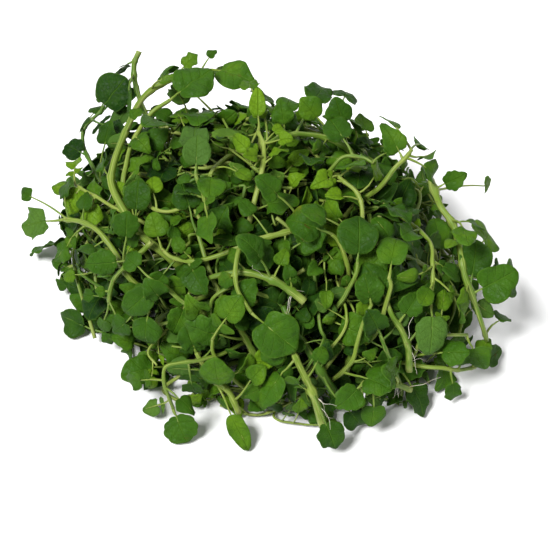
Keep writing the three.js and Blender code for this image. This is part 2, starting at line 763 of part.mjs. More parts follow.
const sprigs = [];
SHOWN_SPRIGS.forEach((sprig, i) => {
  const draw = seeded(SHOWN_SEED + 1000 * i);
  const stem = settle(sprig.name, false, STEM_TRIES, (attempt) => shownStem(sprig, draw, attempt));
  if (!stem) throw new Error(`${sprig.name} finds no room for its stem`);
  sprigs.push({ ...sprig, stem, seed: SHOWN_SEED + 1000 * i });
});
for (const sprig of sprigs) {
  sprig.leaves.forEach((leaf, i) => {
    const draw = seeded(sprig.seed + 20 * (i + 1));
    settle(sprig.name, true, LEAF_TRIES, (attempt) => listedLeaf(sprig.stem, leaf, draw, attempt));
  });
}
for (const [t, tier] of FILLING_TIERS.entries()) {
  for (let i = 0; i < tier.count; i += 1) {
    const name = `${tier.name}_${String(i + 1).padStart(2, '0')}`;
    const seed = FILLING_SEED + 5000 * t + 200 * i;
    const draw = seeded(seed);
    const stem = settle(name, false, STEM_TRIES, (attempt) => fillingStem(tier, i, draw, attempt));
    if (stem) sprigs.push({ name, stem, seed, more: tier.leaves });
  }
}
for (const sprig of sprigs) {
  for (let i = 0; i < sprig.more; i += 1) {
    const draw = seeded(sprig.seed + 101 + 20 * (i + 1));
    const isTip = i === 0 && !sprig.leaves;
    const where = isTip ? 1 : 0.12 + 0.8 * (i + 0.5) / (sprig.more + 1);
    const side = isTip ? 0 : 1 - 2 * (i % 2);
    settle(sprig.name, true, LEAF_TRIES, () => ruleLeaf(sprig.stem, where, side, draw));
  }
}

// Each sprig's stem and leaves joined, cut flat where they lie on the table. Only the largest
// body is kept, so that no scrap stays loose and no hollow stays sealed.
function joined(name) {
  const own = placed.filter((one) => one.sprig === name);
  let solid = own[0].solid;
  for (const one of own.slice(1)) solid = solid.add(one.solid);
  if (solid.boundingBox().min[2] < 0) {
    const table = new THREE.BoxGeometry(TABLE_SIZE, TABLE_SIZE, TABLE_THICK);
    table.translate(0, 0, -TABLE_THICK / 2);
    solid = solid.subtract(solidOf(table));
  }
  return solid.decompose().reduce((most, one) => (one.volume() > most.volume() ? one : most));
}

function meshOf(sprig) {
  const { vertProperties, triVerts } = joined(sprig.name).getMesh();
  const geometry = new THREE.BufferGeometry();
  geometry.setAttribute('position', new THREE.BufferAttribute(vertProperties, 3));
  geometry.setIndex(new THREE.BufferAttribute(triVerts, 1));
  geometry.computeVertexNormals();
  const color = TONES[sprig.tone ?? COMMON_TONE];
  const mesh = new THREE.Mesh(geometry, new THREE.MeshStandardMaterial({ color, roughness: SPRIG_ROUGHNESS }));
  mesh.name = sprig.name;
  return mesh;
}

// The whole bunch, moved so that the middle of its base is the origin.
const bunch = new THREE.Group();
for (const sprig of sprigs) bunch.add(meshOf(sprig));
const box = new THREE.Box3().setFromObject(bunch);
bunch.position.set(-(box.min.x + box.max.x) / 2, -(box.min.y + box.max.y) / 2, 0);

export default bunch;
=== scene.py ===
# A loose bunch of cut watercress, lying on a table as a low tangled heap. +Z is up.
# Plant sizes are in millimetres, and MM brings them to metres as each piece is meshed.
import math

import bmesh
import bpy
import numpy as np
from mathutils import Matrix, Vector
from mathutils.bvhtree import BVHTree
from mathutils.kdtree import KDTree


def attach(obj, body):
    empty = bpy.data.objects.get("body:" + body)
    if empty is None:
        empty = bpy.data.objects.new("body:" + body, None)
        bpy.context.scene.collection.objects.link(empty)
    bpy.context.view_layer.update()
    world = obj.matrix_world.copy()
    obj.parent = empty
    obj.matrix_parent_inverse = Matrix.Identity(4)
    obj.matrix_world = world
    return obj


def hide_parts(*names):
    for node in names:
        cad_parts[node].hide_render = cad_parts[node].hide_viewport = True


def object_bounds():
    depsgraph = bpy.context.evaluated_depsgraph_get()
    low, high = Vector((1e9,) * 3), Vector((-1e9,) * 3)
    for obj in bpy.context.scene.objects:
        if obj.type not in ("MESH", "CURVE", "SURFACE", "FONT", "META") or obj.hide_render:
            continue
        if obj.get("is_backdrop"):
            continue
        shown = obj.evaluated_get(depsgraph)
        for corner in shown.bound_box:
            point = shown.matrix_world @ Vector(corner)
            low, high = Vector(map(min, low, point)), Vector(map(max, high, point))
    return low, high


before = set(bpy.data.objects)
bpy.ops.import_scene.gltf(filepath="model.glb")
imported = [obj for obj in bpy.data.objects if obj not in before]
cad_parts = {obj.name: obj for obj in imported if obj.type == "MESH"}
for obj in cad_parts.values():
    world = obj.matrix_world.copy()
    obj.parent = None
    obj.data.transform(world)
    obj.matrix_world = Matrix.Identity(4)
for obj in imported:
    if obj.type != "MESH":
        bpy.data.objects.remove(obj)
cad_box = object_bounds()

# The heap: half an ellipsoid, turned on the table. Sprigs lie in it and over it, and their
# leaves turn their upper sides out of it and to the light.
MM = 0.001
HEAP_HALF = np.array([122.0, 98.0, 94.0])
HEAP_TURN = math.radians(-26)
TO_HEAP = np.array([
    [math.cos(HEAP_TURN), math.sin(HEAP_TURN), 0],
    [-math.sin(HEAP_TURN), math.cos(HEAP_TURN), 0],
    [0, 0, 1],
])


def unit(vector):
    return vector / np.linalg.norm(vector)


def out_of_heap(point):
    """The direction out of the heap at a point."""
    return unit(TO_HEAP.T @ (TO_HEAP @ point / HEAP_HALF**2))


def heap_depth(points):
    """How deep points lie in the heap: 0 is its middle and 1 its skin."""
    return np.linalg.norm(points @ TO_HEAP.T / HEAP_HALF, axis=-1)


def heap_point(depth, fall, bearing):
    """A point at a depth, an angle down from the top and a bearing, in degrees."""
    fall, bearing = math.radians(fall), math.radians(bearing)
    level = math.sin(fall)
    place = np.array([level * math.cos(bearing), level * math.sin(bearing), math.cos(fall)])
    return TO_HEAP.T @ (HEAP_HALF * depth * place)


# Growing: each sprig grows from a seeded stream of numbers, so it is the same every time.
# Its stem follows a smooth curve through a few points, and a leaf arches along a circle.
LEAF_BEND = (0.35, 0.95)
LEAF_FOLD = (-0.12, 0.22)
LEAF_PHASE = (0, 6.28)
LEAF_ASPECT = (1, 1.2)
BLADE_SHARE = 0.82
FIRST_NORMAL = np.array([0.31, -0.22, 0.92])
LIGHT_ON_SHOWN = np.array([0, -0.9, 1.1])
LIGHT_ON_OTHERS = np.array([0, -0.2, 0.6])


class Stream:
    """A seeded stream of numbers from 0 to 1."""

    def __init__(self, seed):
        self.state = seed & 0xFFFFFFFF

    def __call__(self):
        self.state = (self.state + 0x6D2B79F5) & 0xFFFFFFFF
        mixed = (self.state ^ (self.state >> 15)) * (1 | self.state) & 0xFFFFFFFF
        mixed = (mixed + (mixed ^ (mixed >> 7)) * (61 | mixed) ^ mixed) & 0xFFFFFFFF
        return (mixed ^ (mixed >> 14)) / 4294967296

    def between(self, low, high):
        return low + (high - low) * self()

    def move(self, size):
        """A random move, up to half of size each way."""
        return np.array([self() - 0.5, self() - 0.5, self() - 0.5]) * size


def along_route(points, share):
    """The place on the smooth curve through the points, share of the way along it."""
    last = len(points) - 1
    step = min(int(last * share), last - 1)
    rest = last * share - step
    start, end = points[step], points[step + 1]
    before = points[step - 1] if step > 0 else 2 * start - end
    after = points[step + 2] if step + 2 <= last else 2 * end - start
    leave, arrive = (end - before) / 2, (after - start) / 2
    square = (3 * (end - start) - 2 * leave - arrive) * rest**2
    return start + leave * rest + square + (2 * (start - end) + leave + arrive) * rest**3


def heading(points, share):
    """The direction of the curve there."""
    reach = 0.0001
    ahead = along_route(points, min(1, share + reach))
    return unit(ahead - along_route(points, max(0, share - reach)))


def route_length(points):
    return sum(np.linalg.norm(b - a) for a, b in zip(points, points[1:]))


def framed(points, shares):
    """Centres and two cross directions at shares of the way along a curve."""
    normal = FIRST_NORMAL
    rows = []
    for share in shares:
        ahead = heading(points, share)
        normal = unit(normal - ahead * (normal @ ahead))
        rows.append((along_route(points, share), normal, np.cross(ahead, normal)))
    return [np.array(column) for column in zip(*rows)]


def leaf_shape(draw, width, pairs, roll):
    """What varies from leaf to leaf: how it arches, folds, waves and how long its blade is."""
    return {
        "width": width,
        "pairs": pairs,
        "roll": roll,
        "bend": draw.between(*LEAF_BEND),
        "fold": draw.between(*LEAF_FOLD),
        "phase": draw.between(*LEAF_PHASE),
        "aspect": draw.between(*LEAF_ASPECT),
    }


def make_leaf(root, tip, light, shape):
    """A leaf from its root to its tip, its upper side turned out of the heap and to the light."""
    chord = tip - root
    span = np.linalg.norm(chord)
    chord = chord / span
    face = out_of_heap(tip) + light
    face = unit(face - chord * (face @ chord))
    roll = shape["roll"]
    face = face * math.cos(roll) + np.cross(chord, face) * math.sin(roll)
    half = shape["bend"] / 2
    start = chord * math.cos(half) + face * math.sin(half)
    up = face * math.cos(half) - chord * math.sin(half)
    length = span * half / math.sin(half)
    long = min(shape["width"] * shape["aspect"], length * BLADE_SHARE)
    placed = {"root": root, "start": start, "up": up, "across": np.cross(up, start)}
    return {**shape, **placed, "length": length, "long": long, "stalk": length - long}


def laid(leaf, along, across, lift):
    """Places of the flat leaf, given as arrays, on the arched one."""
    angle = leaf["bend"] * along / leaf["length"]
    reach = leaf["length"] / leaf["bend"]
    sine, cosine = np.sin(angle)[:, None], np.cos(angle)[:, None]
    normal = leaf["start"] * sine + leaf["up"] * cosine
    ahead = leaf["start"] * reach * sine - leaf["up"] * reach * (1 - cosine)
    return leaf["root"] + ahead + leaf["across"] * across[:, None] + normal * lift[:, None]


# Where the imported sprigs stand. Each stem and leaf was tried at one place after another until
# it stood clear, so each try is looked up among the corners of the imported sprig.
STEM_SHIFT = 3
STEM_LIFT = 0.4
LEAF_SHIFT = 0.9
LEAF_TURN = 0.07
STEM_TRIES = 30
LEAF_TRIES = 60
SAME_PLACE = 0.06
MOSTLY = 0.5
PLAIN_THICK = 1.6
PLAIN_STEP = 20
PLAIN_LIFT = 0.35
LARGE_LEAF = 17
MIDDLE_LEAF = 12


def stem_corners(points, thick):
    """The corners of a sprig's plain stem, ring by ring."""
    base, tip = thick
    sides = 5 if base > PLAIN_THICK else 4
    rings = min(7, max(4, int(route_length(points) / PLAIN_STEP + 0.5)))
    frames = zip(*framed(points, [i / rings for i in range(rings + 1)]))
    corners = []
    for i, (centre, normal, binormal) in enumerate(frames):
        radius = base + (tip - base) * i / rings
        for side in range(sides):
            turn = 2 * math.pi * side / sides
            out = normal * math.sin(turn) - binormal * math.cos(turn)
            corners.append(centre + out * radius)
    return np.array(corners)


def blade_corners(leaf):
    """The corners round a leaf's plain blade, on its upper side."""
    if leaf["width"] > LARGE_LEAF:
        edge = [(0, 0.32), (0.25, 0.5), (0.62, 0.46), (0.88, 0.27)]
    elif leaf["width"] > MIDDLE_LEAF:
        edge = [(0.04, 0.36), (0.42, 0.5), (0.82, 0.33)]
    else:
        edge = [(0.2, 0.42), (0.7, 0.4)]
    right = [(share, spread, -1, i) for i, (share, spread) in enumerate(edge)]
    left = [(share, spread, 1, len(edge) + i) for i, (share, spread) in enumerate(edge[::-1])]
    share, spread, sign, turn = np.array(right + left).T
    width, phase = leaf["width"], leaf["phase"]
    across = sign * width * spread * (1 + 0.05 * np.sin(2.4 * turn + phase))
    rise = 0.05 * width * np.sin(1.7 * turn + 2 * phase) + leaf["fold"] * np.abs(across)
    along = np.append(leaf["stalk"] + leaf["long"] * share, leaf["length"])
    return laid(leaf, along, np.append(across, 0), np.append(rise, 0) + PLAIN_LIFT)


class Packed:
    """The corners of one packed sprig, in the plant's millimetres."""

    moved = np.zeros(3)

    def __init__(self, name):
        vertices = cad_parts[name].data.vertices
        self.corners = np.array([v.co[:] for v in vertices]) / MM - Packed.moved
        self.tree = KDTree(len(self.corners))
        for i, corner in enumerate(self.corners):
            self.tree.insert(corner, i)
        self.tree.balance()

    def pick(self, tries, candidate, corners):
        """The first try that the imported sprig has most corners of, or None."""
        for attempt in range(tries):
            item = candidate(attempt)
            wanted = corners(item)
            found = sum(self.tree.find(corner)[2] < SAME_PLACE for corner in wanted)
            if found >= MOSTLY * len(wanted):
                return item
        return None


def moved_by(name, corners):
    """How far the whole bunch was moved on the table to bring its middle to the origin."""
    gaps = (Packed(name).corners[:, None] - corners[None]).reshape(-1, 3)
    level = gaps[np.abs(gaps[:, 2]) < SAME_PLACE][:, :2]
    cells, counts = np.unique(np.round(level / SAME_PLACE), axis=0, return_counts=True)
    best = cells[counts.argmax()] * SAME_PLACE
    near = level[np.abs(level - best).max(axis=1) < SAME_PLACE]
    return np.append(np.median(near, axis=0), 0)


# Finishes: each is a recipe of shader nodes for one of the plant's surfaces. Sums on what a
# node gives are written as plain maths, and every other node comes from Finish.node.
class Value:
    """One output of a node."""

    def __init__(self, finish, socket):
        self.finish = finish
        self.socket = socket

    def maths(self, operation, *numbers):
        return self.finish.node("Math", {"operation": operation}, numbers)

    def __add__(self, other):
        return self.maths("ADD", self, other)

    def __radd__(self, other):
        return self.maths("ADD", other, self)

    def __sub__(self, other):
        return self.maths("SUBTRACT", self, other)

    def __rsub__(self, other):
        return self.maths("SUBTRACT", other, self)

    def __mul__(self, other):
        return self.maths("MULTIPLY", self, other)

    def __rmul__(self, other):
        return self.maths("MULTIPLY", other, self)

    def __abs__(self):
        return self.maths("ABSOLUTE", self)

    def sine(self):
        return self.maths("SINE", self)

    def larger(self, other):
        return self.maths("MAXIMUM", self, other)

    def step(self, low, high):
        """0 below low and 1 above high, and smooth between them."""
        smooth = {"interpolation_type": "SMOOTHSTEP"}
        return self.finish.node("MapRange", smooth, [self, low, high, 0, 1])

    def split(self):
        """Its three parts, as values of their own."""
        first = self.finish.node("SeparateXYZ", {}, [self])
        return [Value(self.finish, out) for out in first.socket.node.outputs]


class Finish:
    """A material under construction."""

    def __init__(self, name):
        self.material = bpy.data.materials.new(name)
        self.material.use_nodes = True
        self.tree = self.material.node_tree
        self.tree.nodes.clear()

    def node(self, kind, settings, sockets, output=0):
        """Adds a node: its settings first, then its sockets' values or links."""
        made = self.tree.nodes.new("ShaderNode" + kind)
        for key, setting in settings.items():
            setattr(made, key, setting)
        listed = sockets.items() if isinstance(sockets, dict) else enumerate(sockets)
        for key, value in listed:
            if isinstance(value, Value):
                self.tree.links.new(value.socket, made.inputs[key])
            else:
                made.inputs[key].default_value = value
        return Value(self, made.outputs[output]) if made.outputs else None

    def mix(self, share, one, other):
        """From one colour to another as share goes from 0 to 1."""
        return self.node("Mix", {"data_type": "RGBA"}, {0: share, 6: one, 7: other}, 2)

    def noise(self, place, scale, detail=2.0):
        return self.node("TexNoise", {}, {"Vector": place, "Scale": scale, "Detail": detail})

    def attribute(self, name, output="Vector"):
        return self.node("Attribute", {"attribute_name": name}, {}, output)

    def bump(self, height, strength, distance):
        return self.node("Bump", {}, {"Height": height, "Strength": strength, "Distance": distance})

    def done(self, shader):
        self.node("OutputMaterial", {}, {"Surface": shader})
        return self.material


# Stems: pale, ribbed and juicy, swollen where leaves grow, and hollow where they are cut.
# They are yellow-green with paler fibres, whiter at the foot, and have a few brown scuffs.
STEM_STEP = 2.2
STEM_SIDES = 10
STEM_RIBS = 5
RIB_DEPTH = 0.06
JOINT_SWELL = 0.28
JOINT_LONG = 2.0
HOLLOW_WALL = 0.45
HOLLOW_DEEP = 1.5
STEM_GREEN = (0.17, 0.26, 0.022, 1)
STEM_PALE = (0.38, 0.43, 0.12, 1)
STEM_DEEP = (0.05, 0.14, 0.01, 1)
STEM_SCUFF = (0.13, 0.085, 0.03, 1)
STEM_PAINTED_SHADE = (0.006, 0.018, 0.001, 1)
STEM_GLOW = (0.3, 0.42, 0.05, 1)
STEM_GLOWS = 0.14
STEM_SUNK = 0.6
STEM_FOOT = 0.03
FOOT_SHARES = np.linspace(0, 0.6, 61)
# Growth deep in the heap stands in the dark: its colour is darkened there as painted shade, back to full
# colour at the heap's skin.
DIM_DEPTH = 0.58
LIT_DEPTH = 0.96
IN_THE_DARK = 0.13

shapes = {}


def keep_shape(bm, key, slot):
    """Keeps a shape as a mesh to copy, with its corners as an array."""
    bmesh.ops.recalc_face_normals(bm, faces=bm.faces[:])
    for face in bm.faces:
        face.smooth = True
        face.material_index = slot
    mesh = bpy.data.meshes.new("shape")
    flat = np.array([vertex.co[:] for vertex in bm.verts])
    bm.to_mesh(mesh)
    bm.free()
    shapes[key] = {"mesh": mesh, "flat": flat}
    return shapes[key]


def tube(sides, steps, is_cut=False, slot=0):
    """A tube of unit radius and length along Z, with closed ends and its cut end hollow."""
    key = (sides, steps, is_cut, slot)
    if key in shapes:
        return shapes[key]
    bm = bmesh.new()
    bm.loops.layers.uv.new("UVMap")
    bmesh.ops.create_grid(bm, x_segments=sides, y_segments=steps, size=0.5, calc_uvs=True)
    for vertex in bm.verts:
        turn = 2 * math.pi * (vertex.co.x + 0.5)
        vertex.co = (math.cos(turn), math.sin(turn), vertex.co.y + 0.5)
    bmesh.ops.remove_doubles(bm, verts=bm.verts[:], dist=1e-4)
    rims = [edge for edge in bm.edges if edge.is_boundary]
    ends = bmesh.ops.holes_fill(bm, edges=rims, sides=0)["faces"]
    if is_cut:
        foot = min(ends, key=lambda face: face.calc_center_median().z)
        bmesh.ops.inset_region(bm, faces=[foot], thickness=HOLLOW_WALL)
        sunk = bmesh.ops.extrude_discrete_faces(bm, faces=[foot])["faces"][0]
        for vertex in sunk.verts:
            vertex.co.z = -1
    return keep_shape(bm, key, slot)


class Growth:
    """One piece under construction, to which stems and leaves are added."""

    def __init__(self):
        self.bm = bmesh.new()
        self.bm.loops.layers.uv.new("UVMap")
        self.bm.verts.layers.float_color.new("blade")
        self.bm.verts.layers.float_color.new("growth")

    def add(self, shape, places, growth):
        """Adds a copy of a shape with its corners at these places, in millimetres."""
        first = len(self.bm.verts)
        self.bm.from_mesh(shape["mesh"])
        self.bm.verts.ensure_lookup_table()
        own = self.bm.verts.layers.float_color["growth"]
        places = (places + Packed.moved) * MM
        places[:, 2] = np.maximum(places[:, 2], 0)
        for i, place in enumerate(places):
            vertex = self.bm.verts[first + i]
            vertex.co = place
            vertex[own] = growth

    def finish(self, name, slot, nodes=()):
        """Makes the piece an object that rides on the bunch."""
        mesh = bpy.data.meshes.new(name)
        self.bm.to_mesh(mesh)
        self.bm.free()
        places = np.empty(len(mesh.vertices) * 3, np.float32)
        mesh.vertices.foreach_get("co", places)
        # Painted shade: the third part of each corner's blade colour is how far it lies out of the heap's
        # dark middle, and both finishes darken colour by it.
        depth = heap_depth(places.reshape(-1, 3) / MM - Packed.moved)
        blade = mesh.attributes["blade"].data
        values = np.empty(len(blade) * 4, np.float32)
        blade.foreach_get("color", values)
        values[2::4] = np.clip((depth - DIM_DEPTH) / (LIT_DEPTH - DIM_DEPTH), 0, 1)
        blade.foreach_set("color", values)
        for material in (stem_material, leaf_material, rootlet_material):
            mesh.materials.append(material)
        piece = bpy.data.objects.new(name, mesh)
        bpy.context.scene.collection.objects.link(piece)
        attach(piece, "root")
        if nodes:
            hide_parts(*nodes)


def clear_of_table(points, radius):
    """The share of a route from which it stays above the table."""
    low = [share for share in FOOT_SHARES if along_route(points, share)[2] < STEM_SUNK * radius]
    return low[-1] if low and low[-1] > STEM_FOOT else 0.0


def grow_stem(piece, stem, growth, sides=STEM_SIDES):
    """A ribbed stem along its route, swollen at its joints and hollow at its cut end."""
    points, (base, tip) = stem["points"], stem["thick"]
    start = stem["start"]
    long = route_length(points)
    is_ribbed = sides >= STEM_SIDES
    steps = max(2, round(long * (1 - start) / STEM_STEP / 4)) * 4
    shape = tube(sides, steps, is_ribbed)
    flat = shape["flat"]
    shares = start + (1 - start) * np.linspace(0, 1, steps + 1)
    centres, normals, binormals = framed(points, shares)
    ring = np.clip(np.round(flat[:, 2] * steps).astype(int), 0, steps)
    radius = base + (tip - base) * shares
    for joint in stem["joints"]:
        radius = radius * (1 + JOINT_SWELL * np.exp(-(((shares - joint) * long / JOINT_LONG) ** 2)))
    turn = np.arctan2(flat[:, 1], flat[:, 0])
    ribs = 1 + RIB_DEPTH * np.cos(STEM_RIBS * turn) * is_ribbed
    out = normals[ring] * flat[:, :1] + binormals[ring] * flat[:, 1:2]
    places = centres[ring] + out * (radius[ring] * ribs)[:, None]
    places[flat[:, 2] < 0] += heading(points, start) * HOLLOW_DEEP
    piece.add(shape, places, growth)


stems = Finish("watercress_stem")
tint, age, luck = stems.attribute("growth").split()
around, along, _ = stems.node("UVMap", {}, {}).split()
place = stems.node("TexCoord", {}, {}, "Object")
fibre_place = stems.node("CombineXYZ", {}, [around * 14, along * 3, luck * 9])
fibres = stems.noise(fibre_place, 1.6, 3)
lit = stems.attribute("blade").split()[2]
blotch = stems.noise(place, 60)
scuffs = stems.noise(place, 420, 3)
green = stems.mix((tint + (blotch - 0.5) * 0.9).step(0.05, 0.95), STEM_DEEP, STEM_GREEN)
green = stems.mix((fibres.step(0.42, 0.68) * 0.5 + tint * 0.3).step(0.1, 1), green, STEM_PALE)
green = stems.mix((1 - along.step(0, 0.12)) * 0.55, green, STEM_PALE)
green = stems.mix(scuffs.step(0.66, 0.72) * 0.6, green, STEM_SCUFF)
# Painted shade: the stem's colour goes towards near-black the deeper it lies in the heap.
green = stems.mix(lit * (1 - IN_THE_DARK) + IN_THE_DARK, STEM_PAINTED_SHADE, green)
relief = stems.bump(fibres + scuffs * 0.3, 0.35, 0.0003)
skin = stems.node("BsdfPrincipled", {}, {
    "Base Color": green,
    "Roughness": 0.36 + fibres * 0.2,
    "Specular IOR Level": 0.25,
    "Normal": relief,
})
glow = stems.node("BsdfTranslucent", {}, {"Color": STEM_GLOW})
stem_material = stems.done(stems.node("MixShader", {}, [STEM_GLOWS, skin, glow]))

# Leaves: thin rounded blades on slim stalks, with waved and lobed edges, some with pairs of
# small side leaflets. The upper side is glossy and the underside paler and dull.
BLADE_CENTRE = 0.45
BLADE_THICK = 0.3
STALK_RADIUS = (0.8, 0.5, 0.12)
STALK_SUNK = 0.6
STALK_COLLAR = 2.5
RIB_SHARE = 0.85
SMALL_LEAF_MESH = (3, 4, 6)
LARGE_LEAF_MESH = (6, 7, 14)
LARGE_MESH_FROM = 6
LEAFLET_OUT = math.radians(60)
LEAFLET_THICK = 0.8
NOTCH_WIDE = 0.45
POINT_WIDE = 0.3
LOBE_DRIFT = 0.14
VEINS = 4.2
VEIN_SWEEP = 0.8
VEIN_CURL = 0.25
LEAF_DEEP = (0.006, 0.034, 0.002, 1)
LEAF_FRESH = (0.042, 0.125, 0.005, 1)
LEAF_YOUNG = (0.15, 0.29, 0.008, 1)
LEAF_RIM = (0.11, 0.23, 0.015, 1)
LEAF_VEIN = (0.1, 0.22, 0.015, 1)
LEAF_UNDER = (0.085, 0.18, 0.03, 1)
LEAF_OLD = (0.36, 0.24, 0.02, 1)
LEAF_SPOT = (0.1, 0.035, 0.008, 1)
LEAF_PAINTED_SHADE = (0.001, 0.006, 0.0005, 1)
LEAF_GLOW = (0.11, 0.3, 0.008, 1)
LEAF_GLOWS = 0.22


def blade_form(steps):
    """A round blade of unit size, closed, with its upper side at height 0 and its under at -1."""
    if steps in shapes:
        return shapes[steps]
    bm = bmesh.new()
    uv = bm.loops.layers.uv.new("UVMap")
    blade = bm.verts.layers.float_color.new("blade")
    bmesh.ops.create_grid(bm, x_segments=steps, y_segments=steps, size=1)
    for vertex in bm.verts:
        x, y = vertex.co.x, vertex.co.y
        vertex.co = (x * math.sqrt(1 - y * y / 2), y * math.sqrt(1 - x * x / 2), 0)
        vertex[blade] = (vertex.co.length, 0, 0, 1)
    for face in bm.faces:
        for loop in face.loops:
            loop[uv].uv = (0.5 + loop.vert.co.x / 2, 0.5 + loop.vert.co.y / 2)
    made = bmesh.ops.extrude_face_region(bm, geom=bm.faces[:], use_keep_orig=True)["geom"]
    for vertex in made:
        if isinstance(vertex, bmesh.types.BMVert):
            vertex.co.z = -1
            vertex[blade] = (vertex[blade][0], 1, 0, 1)
    return keep_shape(bm, steps, 1)


def leaf_habit(draw, width):
    """The outline and relief of one leaf's blades, in shares of their size."""
    large = min(1, max(0, (width - 6) / 12))
    pointed = max(0, draw.between(-0.6, 1)) * (1 - 0.7 * large)
    return {
        "notch": draw.between(0, 0.12) + draw.between(0.05, 0.25) * large,
        "point": draw.between(-0.04, 0.14) + 0.15 * pointed,
        "lobes": 3 + 2 * int(4 * draw()),
        "depth": draw.between(0.08, 0.19),
        "sharp": draw.between(0, 1),
        "round": draw.between(1.65, 2.3),
        "wide": draw.between(-0.14, 0.2) + 0.25 * pointed,
        "skew": draw.between(-0.1, 0.1),
        "phase": draw.between(0, 6.28),
        "ruffles": 2 + int(4 * draw()),
        "ruffle": draw.between(0.03, 0.1),
        "cup": draw.between(-0.4, 0.5),
        "droop": draw.between(-0.1, 0.25),
        "blister": draw.between(0.01, 0.024),
        "quilt": draw.between(0.015, 0.04),
    }


def blade_places(flat, habit, width, long):
    """Where the corners of a round form come on a blade: along from its foot, across and up."""
    x, y, under = flat.T
    radial, turn = np.hypot(x, y), np.arctan2(y, x)
    ahead, aside = np.cos(turn), np.sin(turn)
    half_long = long * np.where(ahead > 0, 1 - BLADE_CENTRE, BLADE_CENTRE)
    half_wide = width / 2 * (1 - habit["wide"] * ahead)
    power = habit["round"]
    reach = (np.abs(ahead / half_long) ** power + np.abs(aside / half_wide) ** power) ** (-1 / power)
    reach *= 1 - habit["notch"] * np.exp(-(((math.pi - np.abs(turn)) / NOTCH_WIDE) ** 2))
    reach *= 1 + habit["point"] * np.exp(-((turn / POINT_WIDE) ** 2))
    reach *= 1 + habit["skew"] * aside * radial
    wave = habit["lobes"] * (turn + LOBE_DRIFT * np.sin(2 * turn + habit["phase"])) / 2
    rounded = np.abs(np.cos(wave)) ** 0.7 - 0.6
    pointed = 0.45 - np.abs(np.sin(wave)) ** 0.8
    reach *= 1 + habit["depth"] * radial**3 * (rounded + (pointed - rounded) * habit["sharp"])
    along = BLADE_CENTRE * long + radial * reach * ahead
    across = radial * reach * aside
    rise = habit["cup"] * across**2 / width - habit["droop"] * long * np.maximum(x, 0) ** 2
    rise += habit["ruffle"] * width * radial**3 * np.sin(habit["ruffles"] * turn + habit["phase"])
    rise += habit["blister"] * width * np.sin(7 * x + habit["phase"]) * np.cos(8 * y)
    way = x + 1 - VEIN_SWEEP * np.abs(y) + VEIN_CURL * y**2
    between_veins = np.abs(np.sin(way * VEINS * math.pi / 2)) * np.minimum(1, 4 * np.abs(y))
    rise += habit["quilt"] * width * between_veins * (1 - radial**4)
    return along, across, rise


def blade_rise(leaf, habit, along):
    """How far the middle of a blade rises at places along the leaf."""
    foot = (along - leaf["stalk"]) / leaf["long"]
    half = np.where(foot > BLADE_CENTRE, 1 - BLADE_CENTRE, BLADE_CENTRE)
    x = np.clip((foot - BLADE_CENTRE) / half, -1, 1)
    flat = np.stack([x, 0 * x, 0 * x], axis=1)
    return np.where(foot > 0, blade_places(flat, habit, leaf["width"], leaf["long"])[2], 0)


def sway(leaf, habit, along):
    """How far a stalk bends aside at places along it."""
    share = np.clip(along / leaf["stalk"], 0, 1)
    return 0.06 * leaf["stalk"] * math.sin(3 * habit["phase"]) * np.sin(math.pi * share)


def leaflets_of(leaf):
    """The side leaflets of a leaf: where each grows along the stalk, its side and its size."""
    pairs = leaf["pairs"]
    for step in range(1, pairs + 1):
        for side in (-1, 1):
            size = leaf["width"] * (0.36 + 0.12 * step / pairs)
            yield leaf["stalk"] * (step - 0.35) / pairs, side, size


def blades_of(leaf, habit, form, small_form):
    """The form and the places of the end blade and of each side leaflet."""
    width, long = leaf["width"], leaf["long"]
    along, across, rise = blade_places(form["flat"], habit, width, long)
    rise = rise + leaf["fold"] * np.abs(across) + BLADE_THICK * (0.5 + form["flat"][:, 2])
    yield form, laid(leaf, leaf["stalk"] + along, across, rise)
    for number, (root, side, size) in enumerate(leaflets_of(leaf)):
        own = {**habit, "notch": 0.04, "lobes": 3, "wide": 0.2, "phase": habit["phase"] + number}
        along, across, rise = blade_places(small_form["flat"], own, 0.8 * size, 1.2 * size)
        out = LEAFLET_OUT + 0.25 * math.sin(own["phase"] * 5)
        ahead = along * math.cos(out) - side * across * math.sin(out)
        aside = side * along * math.sin(out) + across * math.cos(out)
        rise = rise + 0.1 * along + BLADE_THICK * (0.5 + small_form["flat"][:, 2]) * LEAFLET_THICK
        bent = sway(leaf, habit, np.array([root]))
        yield small_form, laid(leaf, root + ahead, aside + bent, rise)


def grow_leaf(piece, leaf, growth, steps, slim=1.0):
    """A leaf: its stalk, which runs on as a rib under the blade, and its blades."""
    habit = leaf["habit"]
    leaf_mesh = SMALL_LEAF_MESH if steps < LARGE_MESH_FROM else LARGE_LEAF_MESH
    leaflet_steps, sides, stretches = leaf_mesh
    for form, places in blades_of(leaf, habit, blade_form(steps), blade_form(leaflet_steps)):
        piece.add(form, places, growth)
    shape = tube(sides, stretches)
    flat = shape["flat"]
    along = -STALK_SUNK + (leaf["stalk"] + RIB_SHARE * leaf["long"] + STALK_SUNK) * flat[:, 2]
    root, neck, end = np.array(STALK_RADIUS) * slim * (0.55 + 0.45 * min(1, leaf["width"] / 16))
    stops = [-STALK_SUNK, STALK_COLLAR, leaf["stalk"], leaf["length"]]
    radius = np.interp(along, stops, [root * 1.2, root, neck, end])
    rib = blade_rise(leaf, habit, along)
    lift = rib - 0.7 * radius * (along > leaf["stalk"]) + radius * flat[:, 1]
    places = laid(leaf, along, radius * flat[:, 0] + sway(leaf, habit, along), lift)
    piece.add(shape, places, growth)


